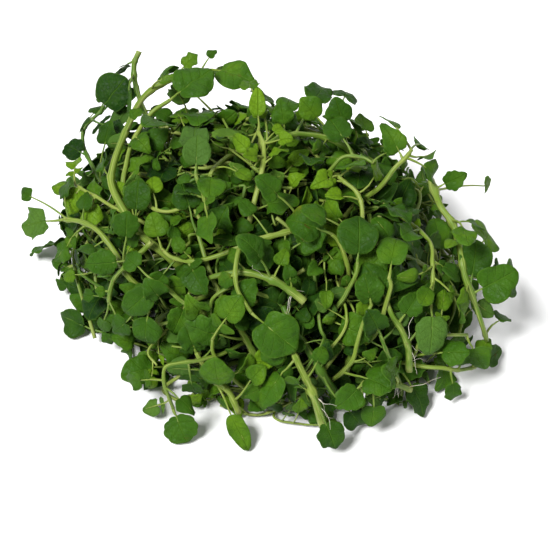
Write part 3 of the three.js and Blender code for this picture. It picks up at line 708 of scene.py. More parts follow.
leaves = Finish("watercress_leaf")
tint, age, luck = leaves.attribute("growth").split()
turned = leaves.attribute("growth", "Alpha")
radial, under, lit = leaves.attribute("blade").split()
ahead, aside, _ = leaves.node("UVMap", {}, {}).split()
place = leaves.node("TexCoord", {}, {}, "Object")
offside = abs(aside - 0.5) * 2
vein_way = ahead * 2 - offside * VEIN_SWEEP + offside * offside * VEIN_CURL
side_veins = 1 - abs((vein_way * (VEINS * math.pi / 2)).sine()).step(0.02, 0.2)
midrib = 1 - (offside + ahead * 0.02).step(0.01, 0.07)
net_place = leaves.node("CombineXYZ", {}, [ahead, aside, luck])
to_edge = {"feature": "DISTANCE_TO_EDGE"}
net = leaves.node("TexVoronoi", to_edge, {"Vector": net_place, "Scale": 11.0})
net_lines = 1 - net.step(0.0, 0.09)
fading = 1 - radial.step(0.75, 1)
veins = midrib.larger(side_veins * fading * 0.7).larger(net_lines * 0.3)
patches = leaves.noise(place, 90, 3)
crinkle = leaves.noise(place, 330, 2)
grain = leaves.noise(place, 1100, 2)
freshness = tint + (patches - 0.5) * 0.55 - radial * 0.06
green = leaves.mix(freshness.step(0.0, 0.62), LEAF_DEEP, LEAF_FRESH)
green = leaves.mix(freshness.step(0.5, 1.05), green, LEAF_YOUNG)
green = leaves.mix(veins * 0.42, green, LEAF_VEIN)
green = leaves.mix(radial.step(0.9, 1.0) * 0.3, green, LEAF_RIM)
dull = leaves.mix(veins * 0.5, LEAF_UNDER, LEAF_RIM)
dull = leaves.mix(0.35, dull, green)
showing = abs(under - turned)
green = leaves.mix(showing, green, dull)
yellowed = (age + (patches - 0.5) * 0.8 + radial * 0.15).step(0.72, 1.1)
green = leaves.mix(yellowed, green, LEAF_OLD)
spots = leaves.noise(place, 260, 3).step(0.62, 0.7) * age.step(0.25, 0.7)
green = leaves.mix(spots * 0.85, green, LEAF_SPOT)
# Painted shade: the leaf's colour goes towards near-black the deeper it lies in the heap.
green = leaves.mix(lit * (1 - IN_THE_DARK) + IN_THE_DARK, LEAF_PAINTED_SHADE, green)
relief = leaves.bump(crinkle + grain * 0.2 - veins * 0.6, 0.8, 0.0011)
blade_skin = leaves.node("BsdfPrincipled", {}, {
    "Base Color": green,
    "Roughness": 0.4 + patches * 0.16 + showing * 0.14,
    "Specular IOR Level": 0.14,
    "Normal": relief,
})
glow = leaves.node("BsdfTranslucent", {}, {"Color": LEAF_GLOW})
leaf_material = leaves.done(leaves.node("MixShader", {}, [LEAF_GLOWS, blade_skin, glow]))

# Rootlets: fine white roots that hang in curls from the joints of older stems. They are a
# third of a millimetre thick at most, and taper, and some have dried to tan.
ROOTLET_RADIUS = 0.16
ROOTLET_LONG = (8, 22)
ROOTLET_RINGS = 16
ROOTLET_DROOP = np.array([0, 0, -0.35])
ROOTLET_SAG = np.array([0, 0, -0.12])
ROOTLET_WHITE = (0.75, 0.72, 0.6, 1)
ROOTLET_TAN = (0.4, 0.3, 0.17, 1)


def grow_rootlets(piece, stem, where, count, draw):
    """A few rootlets from one joint, each with a curl of its own."""
    root = along_route(stem["points"], where)
    for _ in range(count):
        way = unit(draw.move(2) + ROOTLET_DROOP)
        long = draw.between(*ROOTLET_LONG)
        points = [root]
        for _ in range(4):
            way = unit(way + draw.move(1.1) + ROOTLET_SAG)
            points.append(points[-1] + way * long / 4)
        for point in points:
            point[2] = max(point[2], ROOTLET_RADIUS)
        shape = tube(4, ROOTLET_RINGS, slot=2)
        flat = shape["flat"]
        centres, normals, binormals = framed(points, np.linspace(0, 1, ROOTLET_RINGS + 1))
        ring = np.round(flat[:, 2] * ROOTLET_RINGS).astype(int)
        radius = ROOTLET_RADIUS * (1 - 0.6 * flat[:, 2:])
        out = (normals[ring] * flat[:, :1] + binormals[ring] * flat[:, 1:2]) * radius
        piece.add(shape, centres[ring] + out, (draw(), 0, draw(), 0))


rootlets = Finish("watercress_rootlet")
stain = rootlets.noise(rootlets.node("TexCoord", {}, {}, "Object"), 200)
white = rootlets.mix(stain.step(0.5, 0.75), ROOTLET_WHITE, ROOTLET_TAN)
root_skin = rootlets.node("BsdfPrincipled", {}, {"Base Color": white, "Roughness": 0.5})
rootlet_material = rootlets.done(root_skin)

# What stands in the heap so far, in rough form, so that no later leaf grows through it. Where
# the best-seen leaves and stems are known too, no later leaf hides them from the front.
LOOK_DOWN = math.radians(50)
LOOK_FROM = 900
TO_EYE = np.array([0, -math.cos(LOOK_DOWN), math.sin(LOOK_DOWN)])
EYE = np.array([6, -18, 25.7]) + LOOK_FROM * TO_EYE
ROUGH_SIDES = 8
ROUGH_REACH = 0.94
ROUGH_TURNS = np.linspace(0, 2 * math.pi, ROUGH_SIDES + 1)[:ROUGH_SIDES]
ROUGH_RIM = [
    (ROUGH_REACH * math.cos(turn), ROUGH_REACH * math.sin(turn), 0.0)
    for turn in ROUGH_TURNS
]
ROUGH_FORM = {"flat": np.array([(0.0, 0.0, 0.0)] + ROUGH_RIM)}
ROUGH_FACES = [(0, 1 + i, 1 + (i + 1) % ROUGH_SIDES) for i in range(ROUGH_SIDES)]
ROUGH_STRETCHES = 8
ROUGH_STEM_TURNS = (0, 2.1, 4.2)
SHOWN_INNER = 0.6
THICKET_ROOM = 12000


def ball_round(corners):
    """The middle of some corners, and how far they reach from it."""
    middle = corners.mean(axis=0)
    return middle, np.linalg.norm(corners - middle, axis=1).max()


class Thicket:
    """All rough parts so far, each with the ball round it, and the places to keep in view."""

    def __init__(self):
        self.middles = np.zeros((THICKET_ROOM, 3))
        self.reaches = np.zeros(THICKET_ROOM)
        self.trees = []
        self.seen = np.zeros((0, 3))

    def add(self, parts):
        for corners, faces in parts:
            count = len(self.trees)
            self.middles[count], self.reaches[count] = ball_round(corners)
            self.trees.append(BVHTree.FromPolygons(corners.tolist(), faces))

    def show(self, points):
        """Keeps points in view from the front."""
        self.seen = np.concatenate([self.seen, points])

    def show_blade(self, blade):
        """Keeps the middle and the inner part of a rough blade in view from the front."""
        self.show(blade[:1] * (1 - SHOWN_INNER) + blade * SHOWN_INNER)

    def is_clear(self, parts, may_hide=False):
        """Whether parts touch nothing in the heap and hide nothing that has to show."""
        for corners, faces in parts:
            middle, reach = ball_round(corners)
            count = len(self.trees)
            gaps = np.linalg.norm(self.middles[:count] - middle, axis=1)
            near = np.where(gaps < self.reaches[:count] + reach)[0]
            tree = BVHTree.FromPolygons(corners.tolist(), faces)
            if any(self.trees[i].overlap(tree) for i in near):
                return False
            if may_hide:
                continue
            ways = EYE - self.seen
            ways /= np.linalg.norm(ways, axis=1)[:, None]
            before = ((middle - self.seen) * ways).sum(axis=1)
            apart = np.linalg.norm(middle - self.seen - ways * before[:, None], axis=1)
            for i in np.where((before > 0) & (apart < reach))[0]:
                if tree.ray_cast(Vector(self.seen[i]), Vector(ways[i]))[0] is not None:
                    return False
        return True


def rough_leaf(leaf):
    """A leaf's blades and most of its stalk, in a few faces each."""
    blades = blades_of(leaf, leaf["habit"], ROUGH_FORM, ROUGH_FORM)
    parts = [(places, ROUGH_FACES) for _, places in blades]
    along = np.repeat(np.linspace(0.3, 1, 3) * leaf["stalk"], 2)
    across = np.tile([0.5, -0.5], 3) + sway(leaf, leaf["habit"], along)
    strip = laid(leaf, along, across, 0 * along)
    return parts + [(strip, [(0, 1, 3, 2), (2, 3, 5, 4)])]


def rough_stem(stem):
    """A stem as a chain of three-sided stretches."""
    base, tip = stem["thick"]
    shares = np.linspace(stem["start"], 1, ROUGH_STRETCHES + 1)
    centres, normals, binormals = framed(stem["points"], shares)
    radius = base + (tip - base) * shares[:, None]
    sides = [
        centres + radius * (normals * math.cos(turn) + binormals * math.sin(turn))
        for turn in ROUGH_STEM_TURNS
    ]
    for i in range(ROUGH_STRETCHES):
        corners = np.array([side[i + end] for end in (0, 1) for side in sides])
        yield corners, [(0, 1, 4, 3), (1, 2, 5, 4), (2, 0, 3, 5)]


thicket = Thicket()

# The sprigs that show on top: 36 cut shoots, each a bent stem with its leaves. A row gives its
# name, tone, radius at base and tip, whether it is rooted in the heap, its leaves by rule, its
# route, and each listed leaf's place on the stem, tip, width, pairs of leaflets and roll.
SHOWN_SPRIGS = [
    ("arch_thick", "mid", (2.5, 1.4), True, 1,
        [(-61, -32, 71), (-68, -25, 74), (-80, -3, 78), (-81, 11, 80), (-76, 34, 82), (-67, 66, 80),
         (-48, 77, 85), (-31, 78, 89)],
        [(1, -6, 66, 91, 21, 0, 0), (0.97, -27, 85, 98, 6, 0, 0), (0.88, -37, 83, 96, 10, 0, 0)]),
    ("arch_bright", "mid", (1.7, 1.1), True, 1,
        [(-75, 1, 72), (-74, 15, 79), (-71, 28, 83), (-62, 43, 89), (-51, 47, 96)],
        [(1, -29, 66, 99, 23, 0, 0), (0.7, -62, 17, 88, 11, 1, 0)]),
    ("left_loop", "dark", (1.4, 0.9), True, 1,
        [(-89, 31, 43), (-97, 43, 49), (-103, 58, 49), (-103, 66, 54), (-98, 71, 58), (-92, 75, 61)],
        [(1, -73, 80, 73, 18, 0, 0), (0.85, -79, 44, 73, 13, 1, 0), (0.5, -113, 58, 50, 13, 0, 0)]),
    ("upright_end", "dark", (1.6, 1.1), False, 1,
        [(-71, 97, 86), (-74, 92, 80), (-73, 83, 72), (-66, 63, 67), (-54, 34, 72), (-45, 13, 76)],
        [(0.9, -56, -4, 82, 17, 1, 0)]),
    ("left_arch", "mid", (1.8, 1.2), True, 1,
        [(-68, -44, 50), (-74, -39, 57), (-77, -34, 60), (-82, -28, 64), (-89, -20, 66),
         (-98, -12, 63), (-108, -5, 57)],
        [(1, -131, 2, 44, 18, 0, 0), (0.85, -95, 0, 73, 10, 0, 0), (0.97, -136, 16, 53, 8, 0, 0)]),
    ("left_branch", "mid", (1.5, 1), False, 1,
        [(-58, -37, 75), (-63, -39, 70), (-71, -43, 64), (-78, -45, 56), (-81, -48, 48),
         (-82, -50, 41)],
        [(1, -87, -52, 20, 9, 0, 0), (0.97, -76, -61, 25, 8, 0, 0), (0.8, -89, -46, 46, 6, 0, 0)]),
    ("left_yellow", "young", (1.2, 0.8), True, 0,
        [(-69, -17, 72), (-81, -9, 72), (-89, -1, 70), (-97, 7, 67), (-103, 15, 63)],
        [(0.9, -107, 2, 54, 12, 1, 0), (1, -104, 36, 62, 9, 1, 0), (0.7, -94, -14, 59, 13, 0, 0)]),
    ("left_low", "mid", (1.5, 1), True, 1,
        [(-33, -69, 57), (-42, -66, 62), (-50, -61, 67), (-57, -58, 69)],
        [(1, -62, -77, 38, 17, 0, 0), (0.8, -80, -66, 36, 13, 1, 0), (0.9, -74, -42, 70, 12, 0, 0)]),
    ("thin_arc", "young", (1, 0.8), False, 0,
        [(-29, -19, 88), (-42, -23, 86), (-49, -23, 83), (-56, -20, 81), (-62, -14, 79),
         (-71, -6, 73)],
        [(1, -81, 5, 77, 8, 1, 0), (0.6, -59, -2, 88, 10, 0, 0)]),
    ("centre_bar", "mid", (1.9, 0.9), True, 1,
        [(28, -32, 85), (19, -38, 87), (6, -43, 87), (-6, -46, 86), (-22, -51, 81), (-36, -51, 76),
         (-47, -46, 73), (-53, -39, 72)],
        [(1, -58, -25, 84, 13, 0, 0), (0.8, -30, -66, 67, 14, 1, 0), (0.55, 2, -62, 84, 15, 1, 0)]),
    ("cut_bar", "mid", (2.3, 1.1), False, 1,
        [(21, -73, 70), (14, -69, 74), (6, -66, 78), (-2, -63, 79), (-12, -61, 79), (-24, -60, 75),
         (-32, -60, 70), (-38, -60, 62)],
        [(1, -45, -71, 47, 15, 1, 0), (0.3, 12, -54, 89, 8, 0, 0)]),
    ("centre_hook", "mid", (1.4, 0.9), True, 1,
        [(5, -66, 64), (-6, -66, 70), (-15, -65, 72), (-21, -66, 70), (-26, -68, 66),
         (-27, -70, 61)],
        [(1, -24, -79, 52, 7, 0, 0)]),
    ("centre_drop", "mid", (1.3, 1), False, 0,
        [(-10, -49, 91), (-13, -58, 89), (-14, -67, 85), (-13, -73, 80), (-9, -78, 75),
         (-6, -80, 70)],
        [(1, 16, -92, 56, 24, 0, 0), (0.4, -22, -69, 79, 9, 0, 0)]),
    ("front_kink", "mid", (1.1, 0.9), True, 0,
        [(-18, -79, 38), (-27, -85, 41), (-33, -88, 42), (-42, -90, 43), (-49, -92, 42),
         (-50, -95, 33), (-48, -97, 24), (-46, -98, 15)],
        [(1, -40, -113, 3, 19, 0, 0), (0.5, -36, -93, 17, 12, 1, 0)]),
    ("front_lobed", "mid", (1.2, 0.9), True, 1,
        [(-11, -93, 25), (-18, -91, 34), (-23, -89, 41), (-26, -87, 47), (-26, -84, 53)],
        [(1, -11, -76, 78, 14, 1, 0)]),
    ("front_low", "mid", (1.6, 1.1), False, 1,
        [(-13, -101, 12), (-18, -96, 24), (-26, -92, 29), (-31, -86, 33), (-35, -81, 38)],
        [(1, -40, -75, 53, 14, 1, 0), (0.45, -9, -115, 4, 11, 0, 0)]),
    ("front_thick", "mid", (2.3, 1.5), False, 0,
        [(31, -107, 9), (27, -104, 27), (23, -100, 37), (19, -96, 45), (15, -91, 52)],
        [(1, -2, -94, 58, 16, 0, 0), (0.9, -2, -108, 29, 13, 0, 35), (0.4, 41, -119, 5, 15, 0, 0)]),
    ("front_dark", "dark", (2.4, 1.7), True, 1,
        [(38, -91, 14), (30, -89, 32), (23, -83, 43), (16, -76, 52), (10, -67, 59)],
        [(1, -2, -66, 69, 15, 1, 0), (0.5, 52, -107, 7, 14, 1, 0)]),
    ("right_cut", "mid", (1.9, 1.2), False, 1,
        [(76, -86, 29), (75, -82, 43), (71, -78, 53), (66, -74, 60), (63, -68, 65)],
        [(1, 52, -57, 81, 17, 1, 0), (0.6, 79, -66, 68, 13, 0, 0)]),
    ("right_bow", "mid", (1.2, 0.9), True, 1,
        [(77, -77, 30), (81, -79, 44), (87, -77, 48), (96, -74, 44), (107, -67, 35)],
        [(1, 115, -72, 13, 15, 0, 40)]),
    ("right_cut_low", "mid", (1.7, 1.3), False, 1,
        [(77, -91, 19), (69, -94, 28), (60, -97, 33), (51, -99, 36)],
        [(1, 38, -110, 29, 15, 0, 0), (0.75, 56, -110, 13, 13, 0, 0)]),
    ("right_long", "mid", (1.9, 1.2), False, 2,
        [(89, 4, 79), (93, -14, 78), (100, -24, 73), (103, -38, 67), (105, -48, 61), (111, -57, 48),
         (115, -62, 38), (119, -62, 24)],
        [(0.06, 110, 34, 60, 10, 0, 0), (0.5, 122, -9, 53, 20, 0, 0),
         (0.58, 141, -20, 23, 20, 1, 0)]),
    ("right_front", "mid", (1.3, 1), True, 1,
        [(78, -77, 24), (92, -79, 24), (101, -76, 18), (111, -69, 11)],
        [(1, 128, -55, 7, 12, 0, 0), (0.8, 105, -74, 31, 9, 0, 0), (0.7, 101, -88, 6, 10, 0, 0)]),
    ("right_upright", "mid", (1.1, 0.9), True, 1,
        [(86, -36, 75), (87, -50, 74), (87, -59, 69), (86, -66, 61)],
        [(1, 86, -85, 41, 17, 0, 0), (0.8, 80, -74, 69, 10, 0, 0)]),
    ("bright_stalk", "mid", (1.3, 1), True, 1,
        [(45, -90, 41), (48, -86, 53), (51, -80, 62), (55, -73, 68)],
        [(1, 67, -59, 73, 15, 1, 0)]),
    ("right_curl", "dark", (1.3, 0.9), True, 0,
        [(73, -88, 12), (68, -87, 32), (63, -85, 46), (60, -81, 53)],
        [(1, 51, -74, 69, 14, 0, 0)]),
    ("far_arc", "mid", (1.2, 0.9), True, 1,
        [(35, 0, 90), (42, 3, 97), (51, 2, 98), (57, -1, 97)],
        [(1, 69, 8, 99, 7, 0, 0), (0.7, 35, 24, 104, 16, 0, 0)]),
    ("right_fork", "young", (1.3, 1), True, 1,
        [(50, -35, 81), (51, -24, 88), (48, -17, 92), (42, -12, 94), (39, -8, 94)],
        [(0.6, 79, -5, 84, 14, 1, 0), (1, 26, -19, 99, 11, 1, 0)]),
    ("yellow_tip", "young", (1.7, 1), True, 1,
        [(-8, -32, 80), (-2, -15, 98), (0, -5, 102), (0, 5, 104), (-3, 14, 105)],
        [(0.7, -10, -11, 112, 9, 0, 0), (0.85, 15, 2, 112, 8, 0, 0), (1, -2, 30, 110, 9, 0, 0)]),
    ("crown", "mid", (1.8, 1.1), True, 0,
        [(47, 21, 82), (33, 22, 92), (19, 20, 97), (10, 15, 100), (2, 10, 100)],
        [(0.7, 33, 62, 92, 16, 0, 0), (0.5, 47, 68, 84, 16, 0, 0), (1, -9, 58, 100, 11, 0, 0),
         (0.9, 15, 49, 97, 13, 0, 0)]),
    ("right_top", "mid", (1.5, 1), True, 1,
        [(57, -9, 78), (64, -5, 87), (70, 0, 90), (73, 5, 90)],
        [(1, 64, 36, 94, 12, 0, 35), (0.9, 85, 28, 81, 11, 0, 0), (0.8, 92, 0, 84, 13, 0, 0)]),
    ("round_leaf", "mid", (1.4, 1), True, 1,
        [(38, -69, 62), (44, -65, 72), (47, -62, 78), (48, -58, 82)],
        [(1, 49, -38, 96, 21, 0, 0)]),
    ("oval_leaf", "mid", (1.4, 1), True, 1,
        [(56, -74, 46), (61, -68, 63), (63, -65, 72), (62, -63, 76)],
        [(1, 64, -43, 91, 16, 0, 0)]),
    ("spotted_leaf", "mid", (1.5, 1), True, 1,
        [(44, -54, 68), (41, -49, 81), (38, -46, 87), (35, -45, 90)],
        [(1, 12, -41, 98, 20, 0, 0)]),
    ("pale_leaf", "mid", (1.4, 1), True, 1,
        [(-26, -28, 78), (-29, -23, 91), (-32, -19, 97), (-33, -17, 99)],
        [(1, -36, 14, 106, 16, 0, 0)]),
    ("folded_leaf", "mid", (1.5, 1), True, 1,
        [(-17, 18, 82), (-22, 2, 95), (-26, -10, 101), (-28, -16, 101)],
        [(1, -36, -46, 90, 15, 1, 30)]),
]
SHOWN_SEED = 100
SPRIG_SEED_STEP = 1000
LEAF_SEED_STEP = 20
RULE_SEED = 101
HABIT_SEED = 3
HABIT_SEED_STEP = 7
RULE_SIZE = 17
NEAR_TABLE = 14
ROOTED_BACK = 24
ROOTED_LOWEST = 6
SLOTS = {"mid": "watercress_green", "young": "watercress_young", "dark": "watercress_dark"}
TONES = {"mid": 0.5, "young": 0.95, "dark": 0.18}
# A leaf is known by its number in its row, or as one by rule, a broad one or a side one.
BY_RULE = 7
BROAD = 8
SIDE = 9
SHOWS_UNDERSIDE = [("pale_leaf", 0), ("pale_leaf", BROAD), ("right_upright", 0), ("left_arch", 0)]
IS_SPOTTED = [("spotted_leaf", 0), ("right_front", 0)]
HAS_ROOTLETS = {"arch_thick": 3, "cut_bar": 2, "right_cut": 2, "right_cut_low": 2, "front_thick": 2}
HABITS = {
    ("arch_bright", 0): {"lobes": 7, "depth": 0.07, "sharp": 0.3, "wide": 0.12, "cup": -0.1, "notch": 0.1},
    ("arch_thick", 0): {"lobes": 5, "depth": 0.13, "sharp": 0.9, "point": 0.12, "cup": 0.1},
    ("left_arch", 0): {"lobes": 9, "depth": 0.13, "sharp": 0.8, "wide": -0.1, "cup": 0.1, "droop": 0},
    ("front_kink", 0): {"lobes": 9, "depth": 0.1, "sharp": 0.1, "wide": 0, "notch": 0.1, "cup": 0.1},
    ("front_low", 1): {"lobes": 5, "depth": 0.08, "sharp": 1, "point": 0.3, "wide": -0.1, "long": 1.6},
    ("front_thick", 1): {"lobes": 5, "depth": 0.06, "wide": 0, "long": 1.5},
    ("right_upright", 0): {"lobes": 9, "depth": 0.09, "sharp": 0, "cup": 0.05, "long": 1.25},
    ("oval_leaf", 0): {"lobes": 5, "depth": 0.02, "round": 2, "wide": 0, "cup": 0.1, "long": 1.25},
    ("round_leaf", 0): {"lobes": 5, "depth": 0.07, "notch": 0.04, "wide": -0.1, "cup": 0.05, "skew": 0.08},
    ("spotted_leaf", 0): {"lobes": 7, "depth": 0.09, "sharp": 0.6, "cup": 0.1, "skew": -0.1, "point": 0.1},
    ("centre_drop", 0): {"lobes": 5, "depth": 0.1, "sharp": 0.6, "round": 2.3, "wide": -0.1},
    ("pale_leaf", 0): {"lobes": 13, "depth": 0.05, "sharp": 0.7, "cup": 0.05},
    ("right_long", 1): {"lobes": 5, "depth": 0.1, "sharp": 0},
    ("right_long", 2): {"lobes": 3, "depth": 0.3, "sharp": 0, "notch": 0.1},
}


def shown_route(places, is_rooted, draw, attempt):
    """A listed stem's route. A rooted one carries on backwards, ever deeper in the heap."""
    points = [np.array(place, float) for place in places]
    shift = draw.move(STEM_SHIFT * attempt)
    points = [point + out_of_heap(point) * STEM_LIFT * attempt for point in points]
    if is_rooted:
        back = unit(points[0] - points[1]) * ROOTED_BACK
        under = (points[0] + back) * 0.86
        deep = (under + back) * 0.8 + shift
        deep[2] = max(deep[2], ROOTED_LOWEST)
        points = [deep, under] + points
    return points


def listed_leaf(stem, listed, draw, attempt):
    """A listed leaf on its stem, moved and turned a little more at each attempt."""
    where, x, y, z, width, pairs, roll = listed
    shift = draw.move(LEAF_SHIFT * attempt)
    turn = (draw() - 0.5) * LEAF_TURN * attempt
    shape = leaf_shape(draw, width, pairs, math.radians(roll) + turn)
    tip = np.array([x, y, z], float) + shift
    return make_leaf(along_route(stem["points"], where), tip, LIGHT_ON_SHOWN, shape)


def ways_at(stem, where):
    """A place on a stem, and the ways along it, out of the heap and across both."""
    root, along = along_route(stem["points"], where), heading(stem["points"], where)
    out = out_of_heap(root)
    return root, along, out, unit(np.cross(along, out))


def off_the_table(root, way):
    """The way that a leaf grows, up where its root is low."""
    return np.append(way[:2], abs(way[2])) if root[2] < NEAR_TABLE else way


def rule_leaf(stem, where, side, draw):
    """A leaf by rule: it leaves the stem forwards, outwards and to its own side, and up if low."""
    root, along, out, across = ways_at(stem, where)
    forward, rise = draw.between(0.25, 0.8), draw.between(-0.15, 0.75)
    sideways = side * draw.between(0.35, 1)
    reach, width = RULE_SIZE * draw.between(1.4, 2.3), RULE_SIZE * draw.between(0.75, 1.15)
    pairs = 1 if draw() < 0.2 else 0
    shape = leaf_shape(draw, width, pairs, draw.between(-0.6, 0.6))
    way = unit(along * (forward + 0.5 * (side == 0)) + out * rise + across * sideways)
    return make_leaf(root, root + off_the_table(root, way) * reach, LIGHT_ON_OTHERS, shape)


def add_ruled_leaves(packed, sprig, more, has_tip):
    """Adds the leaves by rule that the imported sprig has."""
    for i in range(more):
        draw = Stream(sprig["seed"] + RULE_SEED + LEAF_SEED_STEP * (i + 1))
        is_tip = i == 0 and has_tip
        where = 1 if is_tip else 0.12 + 0.8 * (i + 0.5) / (more + 1)
        side = 0 if is_tip else 1 - 2 * (i % 2)
        leaf = packed.pick(
            LEAF_TRIES, lambda _: rule_leaf(sprig["stem"], where, side, draw), blade_corners
        )
        if leaf:
            sprig["leaves"].append((BY_RULE, where, leaf))


def as_stem(points, thick):
    start = clear_of_table(points, thick[0])
    return {"points": points, "thick": thick, "start": start, "joints": []}


def found_sprig(name, tone, thick, seed, make_route):
    """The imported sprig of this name, and a sprig with its stem on the same route."""
    packed = Packed(name)
    draw = Stream(seed)
    route = packed.pick(
        STEM_TRIES,
        lambda attempt: make_route(draw, attempt),
        lambda points: stem_corners(points, thick),
    )
    if route is None:
        route = make_route(Stream(seed), 0)
    sprig = {"name": name, "tone": tone, "seed": seed, "stem": as_stem(route, thick)}
    return packed, {**sprig, "leaves": [], "hidden": 1}


name, _, thick, is_rooted, _, places, _ = SHOWN_SPRIGS[0]
first_route = shown_route(places, is_rooted, Stream(SHOWN_SEED), 0)
Packed.moved = moved_by(name, stem_corners(first_route, thick))

sprigs = []
for number, (name, tone, thick, is_rooted, more, places, listed) in enumerate(SHOWN_SPRIGS):
    seed = SHOWN_SEED + SPRIG_SEED_STEP * number
    packed, sprig = found_sprig(
        name, tone, thick, seed, lambda draw, attempt: shown_route(places, is_rooted, draw, attempt)
    )
    stem = sprig["stem"]
    sprig["hidden"] = 2 / (len(stem["points"]) - 1) if is_rooted else 0
    for i, line in enumerate(listed):
        draw = Stream(seed + LEAF_SEED_STEP * (i + 1))
        leaf = packed.pick(
            LEAF_TRIES, lambda attempt: listed_leaf(stem, line, draw, attempt), blade_corners
        )
        if leaf:
            sprig["leaves"].append((i, line[0], leaf))
    add_ruled_leaves(packed, sprig, more, False)
    sprigs.append(sprig)

# The sprigs that fill the heap: a tier at the base that it rests on, one that climbs its
# sides, and one inside that carries the top. They are spread evenly round from a bearing.
FILLING_TIERS = [
    {"name": "base", "count": 9, "bearing": 5, "from": (0.55, 89), "to": (0.9, 86), "swing": 55},
    {"name": "side", "count": 10, "bearing": 40, "from": (0.84, 74), "to": (0.98, 30), "swing": 55},
    {"name": "inner", "count": 4, "bearing": 200, "from": (0.6, 72), "to": (0.84, 20), "swing": 60},
]
FILLING_SEED = 9000
TIER_SEED_STEP = 5000
FILLING_SEED_STEP = 200
FILLING_THICK = (1.9, 1.1)
FILLING_LEAVES = 4


def filling_route(tier, number, draw, attempt):
    """A filling stem's route from end to end of its tier, swung and waved by its draws."""
    bearing = tier["bearing"] + 360 * (number + 0.6 * (draw() - 0.5)) / tier["count"]
    swing = tier["swing"] * draw.between(0.5, 1) * (1 - 2 * (number % 2))
    wave, sink = draw.between(-0.04, 0.04), draw.between(-0.04, 0.04)
    points = []
    for share in np.linspace(0, 1, 5):
        depth = tier["from"][0] + (tier["to"][0] - tier["from"][0]) * share
        fall = tier["from"][1] + (tier["to"][1] - tier["from"][1]) * share
        depth += sink + wave * math.sin(4.5 * share)
        point = heap_point(depth, fall, bearing + swing * share**2)
        point[2] = max(point[2], 1.5) + 0.8 * attempt * math.sin(math.pi * share)
        points.append(point)
    return points


for t, tier in enumerate(FILLING_TIERS):
    for i in range(tier["count"]):
        seed = FILLING_SEED + TIER_SEED_STEP * t + FILLING_SEED_STEP * i
        packed, sprig = found_sprig(
            f"{tier['name']}_{i + 1:02d}", "mid", FILLING_THICK, seed,
            lambda draw, attempt: filling_route(tier, i, draw, attempt),
        )
        add_ruled_leaves(packed, sprig, FILLING_LEAVES, True)
        sprigs.append(sprig)

# The habit of each of these leaves, and where they and their stems stand in the heap. The
# listed leaves, and the part of each stem that shows, are kept in view.
LONGEST_BLADE = 0.92

for sprig in sprigs:
    for number, (listed, _, leaf) in enumerate(sprig["leaves"]):
        draw = Stream(sprig["seed"] + HABIT_SEED_STEP * number + HABIT_SEED)
        leaf["habit"] = leaf_habit(draw, leaf["width"])
        leaf["habit"].update(HABITS.get((sprig["name"], listed), {}))
        leaf["long"] = min(leaf["long"] * leaf["habit"].get("long", 1), LONGEST_BLADE * leaf["length"])
        leaf["stalk"] = leaf["length"] - leaf["long"]
        parts = rough_leaf(leaf)
        thicket.add(parts)
        if listed < BY_RULE:
            thicket.show_blade(parts[0][0])
    thicket.add(rough_stem(sprig["stem"]))
    if sprig["hidden"] < 1:
        shares = np.linspace(sprig["hidden"] + 0.04, 0.97, 12)
        thicket.show(np.array([along_route(sprig["stem"]["points"], share) for share in shares]))

# Broad leaves of the outline that the plain sprigs leave out, each with its sprig and where it
# grows, its tip, width, length over width, how deep it is lobed, and its lobes.
BROAD_LEAVES = [
    ("crown", 0.42, (20, 30, 113), 14, 1.0, 0.08, 5),
    ("crown", 0.34, (38, 32, 112), 15, 1.0, 0.12, 5),
    ("yellow_tip", 0.98, (-3, 30, 121), 9, 1.8, 0.05, 3),
    ("crown", 0.8, (9, 27, 115), 12, 1.1, 0.04, 5),
    ("right_top", 0.75, (63, 16, 108), 12, 1.9, 0.12, 7),
    ("right_long", 0.05, (107, 1, 86), 11, 1.2, 0.15, 7),
    ("right_long", 0.64, (111, -33, 73), 17, 1.5, 0.06, 5),
    ("right_long", 0.66, (131, -46, 62), 19, 1.2, 0.3, 3),
    ("left_loop", 0.96, (-78, 84, 74), 23, 1.0, 0.08, 5),
    ("pale_leaf", 1.0, (-34, 0, 116), 15, 1.6, 0.05, 13),
    ("left_low", 0.9, (-72, -66, 52), 15, 1.4, 0.1, 5),
    ("folded_leaf", 0.9, (-30, -34, 104), 15, 1.5, 0.1, 5),
]
BROAD_TRIES = 12
BROAD_SHIFT = 0.7
BROAD_SEED = 40000
BROAD_LIGHT = 6 * TO_EYE

for number, (name, where, tip, width, tall, depth, lobes) in enumerate(BROAD_LEAVES):
    sprig = next(sprig for sprig in sprigs if sprig["name"] == name)
    draw = Stream(BROAD_SEED + LEAF_SEED_STEP * number)
    for attempt in range(BROAD_TRIES):
        shape = leaf_shape(draw, width, 0, draw.between(-0.2, 0.2))
        shape.update(aspect=tall, bend=0.5)
        root = along_route(sprig["stem"]["points"], where)
        leaf = make_leaf(root, np.array(tip) + draw.move(BROAD_SHIFT * attempt), BROAD_LIGHT, shape)
        leaf["habit"] = leaf_habit(draw, width)
        leaf["habit"].update(depth=depth, lobes=lobes, sharp=0.2, cup=0.1, droop=0.05)
        parts = rough_leaf(leaf)
        if thicket.is_clear(parts, True):
            break
    thicket.add(parts)
    thicket.show_blade(parts[0][0])
    sprig["leaves"].append((BROAD, where, leaf))

# More leaves on every sprig, which the plain sprigs leave out. They grow from its joints, to
# one side and the other by turns, wherever they find room.
SHOWN_SPACING = 11
FILLING_SPACING = 8
SHOWN_SIDE_SIZE = 12
FILLING_SIDE_SIZE = 15
SIDE_TRIES = 14
SIDE_SEED = 501
COLOUR_SEED = 777
SKIN_REACH = 1.04
PAST_ROOT = 0.08
LOWEST = 0.4
SIDE_STEPS = 5
SIDE_LIGHT = LIGHT_ON_SHOWN * 0.7
JOINT_SHARES = (0.03, 0.99)
SPOTTED_AGE = 0.55
FULL_WIDTH = 16
ROOTLETS_EACH = 3


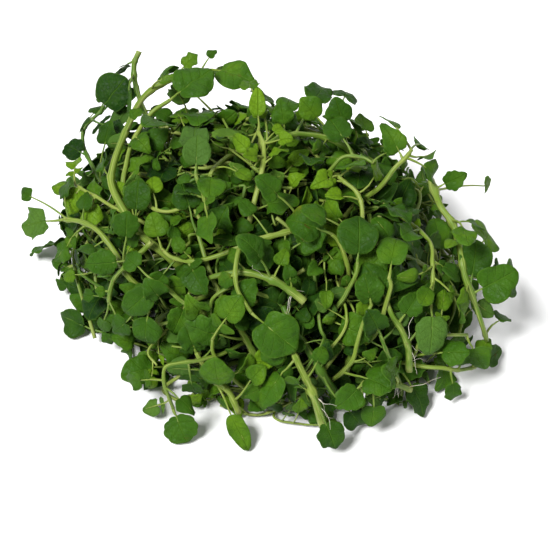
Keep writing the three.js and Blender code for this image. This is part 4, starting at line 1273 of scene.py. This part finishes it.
def side_leaf(stem, where, side, draw, size, light):
    """A side leaf of its own size, shape, turn and habit."""
    root, along, out, across = ways_at(stem, where)
    way = along * draw.between(0.1, 0.9) + out * draw.between(-0.1, 0.9)
    way = unit(way + across * side * draw.between(0.2, 1))
    width = size * draw.between(0.6, 1.2)
    reach = 3 + width * draw.between(1.4, 2.4)
    pairs = int(draw() < 0.28) + int(draw() < 0.1)
    roll = draw.between(-1.2, 1.2) + math.pi * (draw() < 0.15)
    shape = leaf_shape(draw, width, pairs, roll)
    shape["bend"] = draw.between(0.3, 1.4)
    shape["fold"] = draw.between(-0.3, 0.6)
    shape["aspect"] = draw.between(0.95, 1.45)
    leaf = make_leaf(root, root + off_the_table(root, way) * reach, light, shape)
    leaf["habit"] = leaf_habit(draw, width)
    return leaf


def find_room(stem, where, side, draw, size, light, may_hide=False):
    """A side leaf that stands clear and inside the heap, or None."""
    for _ in range(SIDE_TRIES):
        leaf = side_leaf(stem, where, side, draw, size, light)
        parts = rough_leaf(leaf)
        reached = heap_depth(parts[0][0]).max()
        if reached > max(SKIN_REACH, heap_depth(leaf["root"]) + PAST_ROOT):
            continue
        if min(corners[:, 2].min() for corners, _ in parts) < LOWEST:
            continue
        if thicket.is_clear(parts, may_hide):
            thicket.add(parts)
            return leaf
    return None


def leaf_growth(tone, leaf, draw, is_turned=False, is_spotted=False):
    """A leaf's colour values: how light, how old, its own luck, and whether it is turned over."""
    small = max(0, 1 - leaf["width"] / FULL_WIDTH)
    tint = TONES[tone] + 0.3 * small + draw.between(-0.22, 0.22)
    age = SPOTTED_AGE if is_spotted else draw.between(0, 0.35) + 0.3 * (draw() > 0.96)
    return (min(1.0, max(0.0, tint)), age, draw(), float(is_turned))


def blade_steps(width):
    """How finely a sprig's blade is meshed."""
    return 14 if width > LARGE_LEAF else 10 if width > MIDDLE_LEAF else 8


for sprig in sprigs:
    stem = sprig["stem"]
    is_shown = sprig["hidden"] < 1
    spacing = SHOWN_SPACING if is_shown else FILLING_SPACING
    size = SHOWN_SIDE_SIZE if is_shown else FILLING_SIDE_SIZE
    light = SIDE_LIGHT if is_shown else LIGHT_ON_OTHERS
    draw = Stream(sprig["seed"] + SIDE_SEED)
    begin = max(stem["start"], 0.1)
    count = int(route_length(stem["points"]) * (1 - begin) / spacing)
    for i in range(count):
        where = begin + (0.98 - begin) * (i + draw.between(0.1, 0.9)) / count
        leaf = find_room(stem, where, 1 - 2 * (i % 2), draw, size, light)
        if leaf:
            sprig["leaves"].append((SIDE, where, leaf))

for sprig in sprigs:
    stem, name, tone = sprig["stem"], sprig["name"], sprig["tone"]
    first_joint, last_joint = JOINT_SHARES
    stem["joints"] = [where for _, where, _ in sprig["leaves"] if first_joint < where < last_joint]
    draw = Stream(sprig["seed"] + COLOUR_SEED)
    piece = Growth()
    grow_stem(piece, stem, (TONES[tone] + draw.between(-0.1, 0.2), 0, draw(), 0))
    for listed, _, leaf in sprig["leaves"]:
        known = (name, listed)
        growth = leaf_growth(tone, leaf, draw, known in SHOWS_UNDERSIDE, known in IS_SPOTTED)
        grow_leaf(piece, leaf, growth, blade_steps(leaf["width"]) if listed < SIDE else SIDE_STEPS)
    for joint in range(HAS_ROOTLETS.get(name, 0)):
        grow_rootlets(piece, stem, 0.12 + 0.2 * joint, ROOTLETS_EACH, draw)
    piece.finish(name + "_sprig", SLOTS[tone], [name])

# Side shoots that fill the heap between the sprigs: runners, long and thin, that wind over its
# skin, deep ones with broad leaves inside it, all dark in tone as painted shade for the
# middle of the heap, low ones round its foot, and young ones that come up to its skin. A share
# of each kind is young and another dark in tone.
SHOOT_GROUPS = 8
SHOOT_SEED_STEP = 40
SHOOT_SIDES = 6
SHOOT_SLIM = 0.8
SHOOT_LIGHT = LIGHT_ON_SHOWN * 0.6
SHOOT_BARE = 0.3
SHOOT_STEPS = 5
DEEP_STEPS = 4
GOLDEN_TURN = 137.5
ROUTE_TRIES = 10
LOWEST_FALL = 88
SHOOT_KINDS = [
    {"name": "runner", "count": 150, "thick": (1.1, 0.65), "leaves": 4, "size": 11, "seed": 50000,
        # Deep shoots are all dark in tone: painted shade for the middle of the heap.
        "young": 0.15, "dark": 0.3},
    {"name": "deep", "count": 110, "thick": (1.4, 0.9), "leaves": 7, "size": 18, "seed": 60000,
        "young": 0.0, "dark": 1.0},
    {"name": "low", "count": 70, "thick": (1.2, 0.8), "leaves": 6, "size": 14, "seed": 80000,
        "young": 0.0, "dark": 0.6},
    {"name": "young", "count": 230, "thick": (0.9, 0.55), "leaves": 6, "size": 12, "seed": 70000,
        "young": 0.07, "dark": 0.35},
]


def shoot_tone(kind, draw):
    """The tone of a shoot, by its kind's shares of young and dark ones."""
    pick = draw()
    if pick < kind["young"]:
        return "young"
    return "dark" if pick < kind["young"] + kind["dark"] else "mid"


def shoot_route(kind, number, draw):
    """A route on the heap's skin, inside it, or from inside it to its skin."""
    height = 1 - (number + 0.5) / kind["count"] * 0.99
    fall = math.degrees(math.acos(height))
    bearing = number * GOLDEN_TURN + draw.between(-9, 9)
    drift, turn = draw.between(-14, 22), draw.between(-22, 22)
    if kind["name"] == "runner":
        drift, turn = draw.between(-35, 35), draw.between(-50, 50)
        stages = [(draw.between(0.84, 1.0), share) for share in (-0.6, -0.1, 0.3, 0.6, 1)]
    elif kind["name"] == "deep":
        stages = [(0.12, 0), (0.4, 0.3), (0.62, 0.7), (draw.between(0.74, 0.86), 1)]
    elif kind["name"] == "low":
        fall, drift = draw.between(78, 88), 0
        stages = [(0.4, 0), (0.62, 0.3), (0.8, 0.7), (draw.between(0.88, 0.96), 1)]
    else:
        top = draw.between(0.93, 1.01)
        stages = [(0.62, 0), (top - 0.14, 0.35), (top - 0.03, 0.7), (top, 1)]
    points = []
    for depth, share in stages:
        wander = draw.between(-5, 5)
        lowered = min(fall + drift * share + wander, LOWEST_FALL)
        point = heap_point(depth, lowered, bearing + turn * share - wander)
        point[2] = max(point[2], 2)
        points.append(point)
    return points


def clear_route(kind, number, draw):
    """A shoot's stem along the first route that stands clear, or None."""
    for _ in range(ROUTE_TRIES):
        stem = as_stem(shoot_route(kind, number, draw), kind["thick"])
        stem["start"] = 0.0
        parts = list(rough_stem(stem))
        if thicket.is_clear(parts, kind["name"] == "deep"):
            thicket.add(parts)
            return stem
    return None


groups = [Growth() for _ in range(SHOOT_GROUPS)]
for kind in SHOOT_KINDS:
    is_deep = kind["name"] == "deep"
    for number in range(kind["count"]):
        draw = Stream(kind["seed"] + SHOOT_SEED_STEP * number)
        stem = clear_route(kind, number, draw)
        if stem is None:
            continue
        tone = shoot_tone(kind, draw)
        grown = []
        for i in range(kind["leaves"]):
            where = SHOOT_BARE + (1 - SHOOT_BARE) * (i + 1) / kind["leaves"]
            side = 0 if i == kind["leaves"] - 1 else 1 - 2 * (i % 2)
            leaf = find_room(stem, where, side, draw, kind["size"], SHOOT_LIGHT, is_deep)
            if leaf:
                grown.append((where, leaf))
        stem["joints"] = [where for where, _ in grown if where < JOINT_SHARES[1]]
        tip = along_route(stem["points"], 1)
        bearing = math.degrees(math.atan2(tip[1], tip[0])) % 360
        group = groups[int(bearing / 360 * SHOOT_GROUPS)]
        grow_stem(group, stem, (TONES[tone] + draw.between(-0.1, 0.3), 0, draw(), 0), SHOOT_SIDES)
        for _, leaf in grown:
            steps = DEEP_STEPS if is_deep else SHOOT_STEPS
            grow_leaf(group, leaf, leaf_growth(tone, leaf, draw), steps, SHOOT_SLIM)
for number, group in enumerate(groups):
    group.finish(f"side_shoots_{number + 1}", SLOTS["mid"])

# The set: a pale table, soft daylight from the upper left, and the photograph's view. A light
# has its kind, its place, its angle or size, and its power.
TABLE_HALF = 3
TABLE_DROP = 0.0002
TABLE_PALE = (0.9, 0.9, 0.9, 1)
LIGHTS = {
    "key_light": ("SUN", (-0.45, -0.4, 0.95), 0.35, 4.8),
    "fill_light": ("AREA", (0.7, -0.6, 0.6), 0.9, 2.3),
    "back_light": ("AREA", (0.1, 0.8, 0.7), 0.8, 3.6),
}
SKY_POWER = 0.17
LOOK_AT = Vector((0.00197, -0.00868, 0.0257))
LENS = 107.1

bm = bmesh.new()
bmesh.ops.create_grid(bm, x_segments=2, y_segments=2, size=TABLE_HALF)
mesh = bpy.data.meshes.new("table")
bm.to_mesh(mesh)
bm.free()
table = bpy.data.objects.new("table", mesh)
bpy.context.scene.collection.objects.link(table)
table.location.z = -TABLE_DROP
surface = Finish("pale_table")
table_skin = surface.node("BsdfPrincipled", {}, {"Base Color": TABLE_PALE, "Roughness": 0.7})
mesh.materials.append(surface.done(table_skin))
table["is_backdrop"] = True

for name, (kind, place, size, power) in LIGHTS.items():
    light = bpy.data.lights.new(name, kind)
    setattr(light, "angle" if kind == "SUN" else "size", size)
    light.energy = power
    lamp = bpy.data.objects.new(name, light)
    lamp.location = place
    lamp.rotation_euler = (LOOK_AT - lamp.location).to_track_quat("-Z", "Y").to_euler()
    bpy.context.scene.collection.objects.link(lamp)

world = bpy.data.worlds.new("studio")
world.use_nodes = True
world.node_tree.nodes["Background"].inputs["Color"].default_value = (1, 1, 1, 1)
world.node_tree.nodes["Background"].inputs["Strength"].default_value = SKY_POWER
bpy.context.scene.world = world
bpy.context.scene.view_settings.view_transform = "Standard"

camera = bpy.data.cameras.new("front_view")
camera.lens = LENS
eye = bpy.data.objects.new("front_view", camera)
eye.location = LOOK_AT + LOOK_FROM * MM * Vector(TO_EYE)
eye.rotation_euler = (math.pi / 2 - LOOK_DOWN, 0, 0)
bpy.context.scene.collection.objects.link(eye)
bpy.context.scene.camera = eye

boxes = {"cad": cad_box, "visual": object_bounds()}
{name: [list(corner) for corner in box] for name, box in boxes.items()}
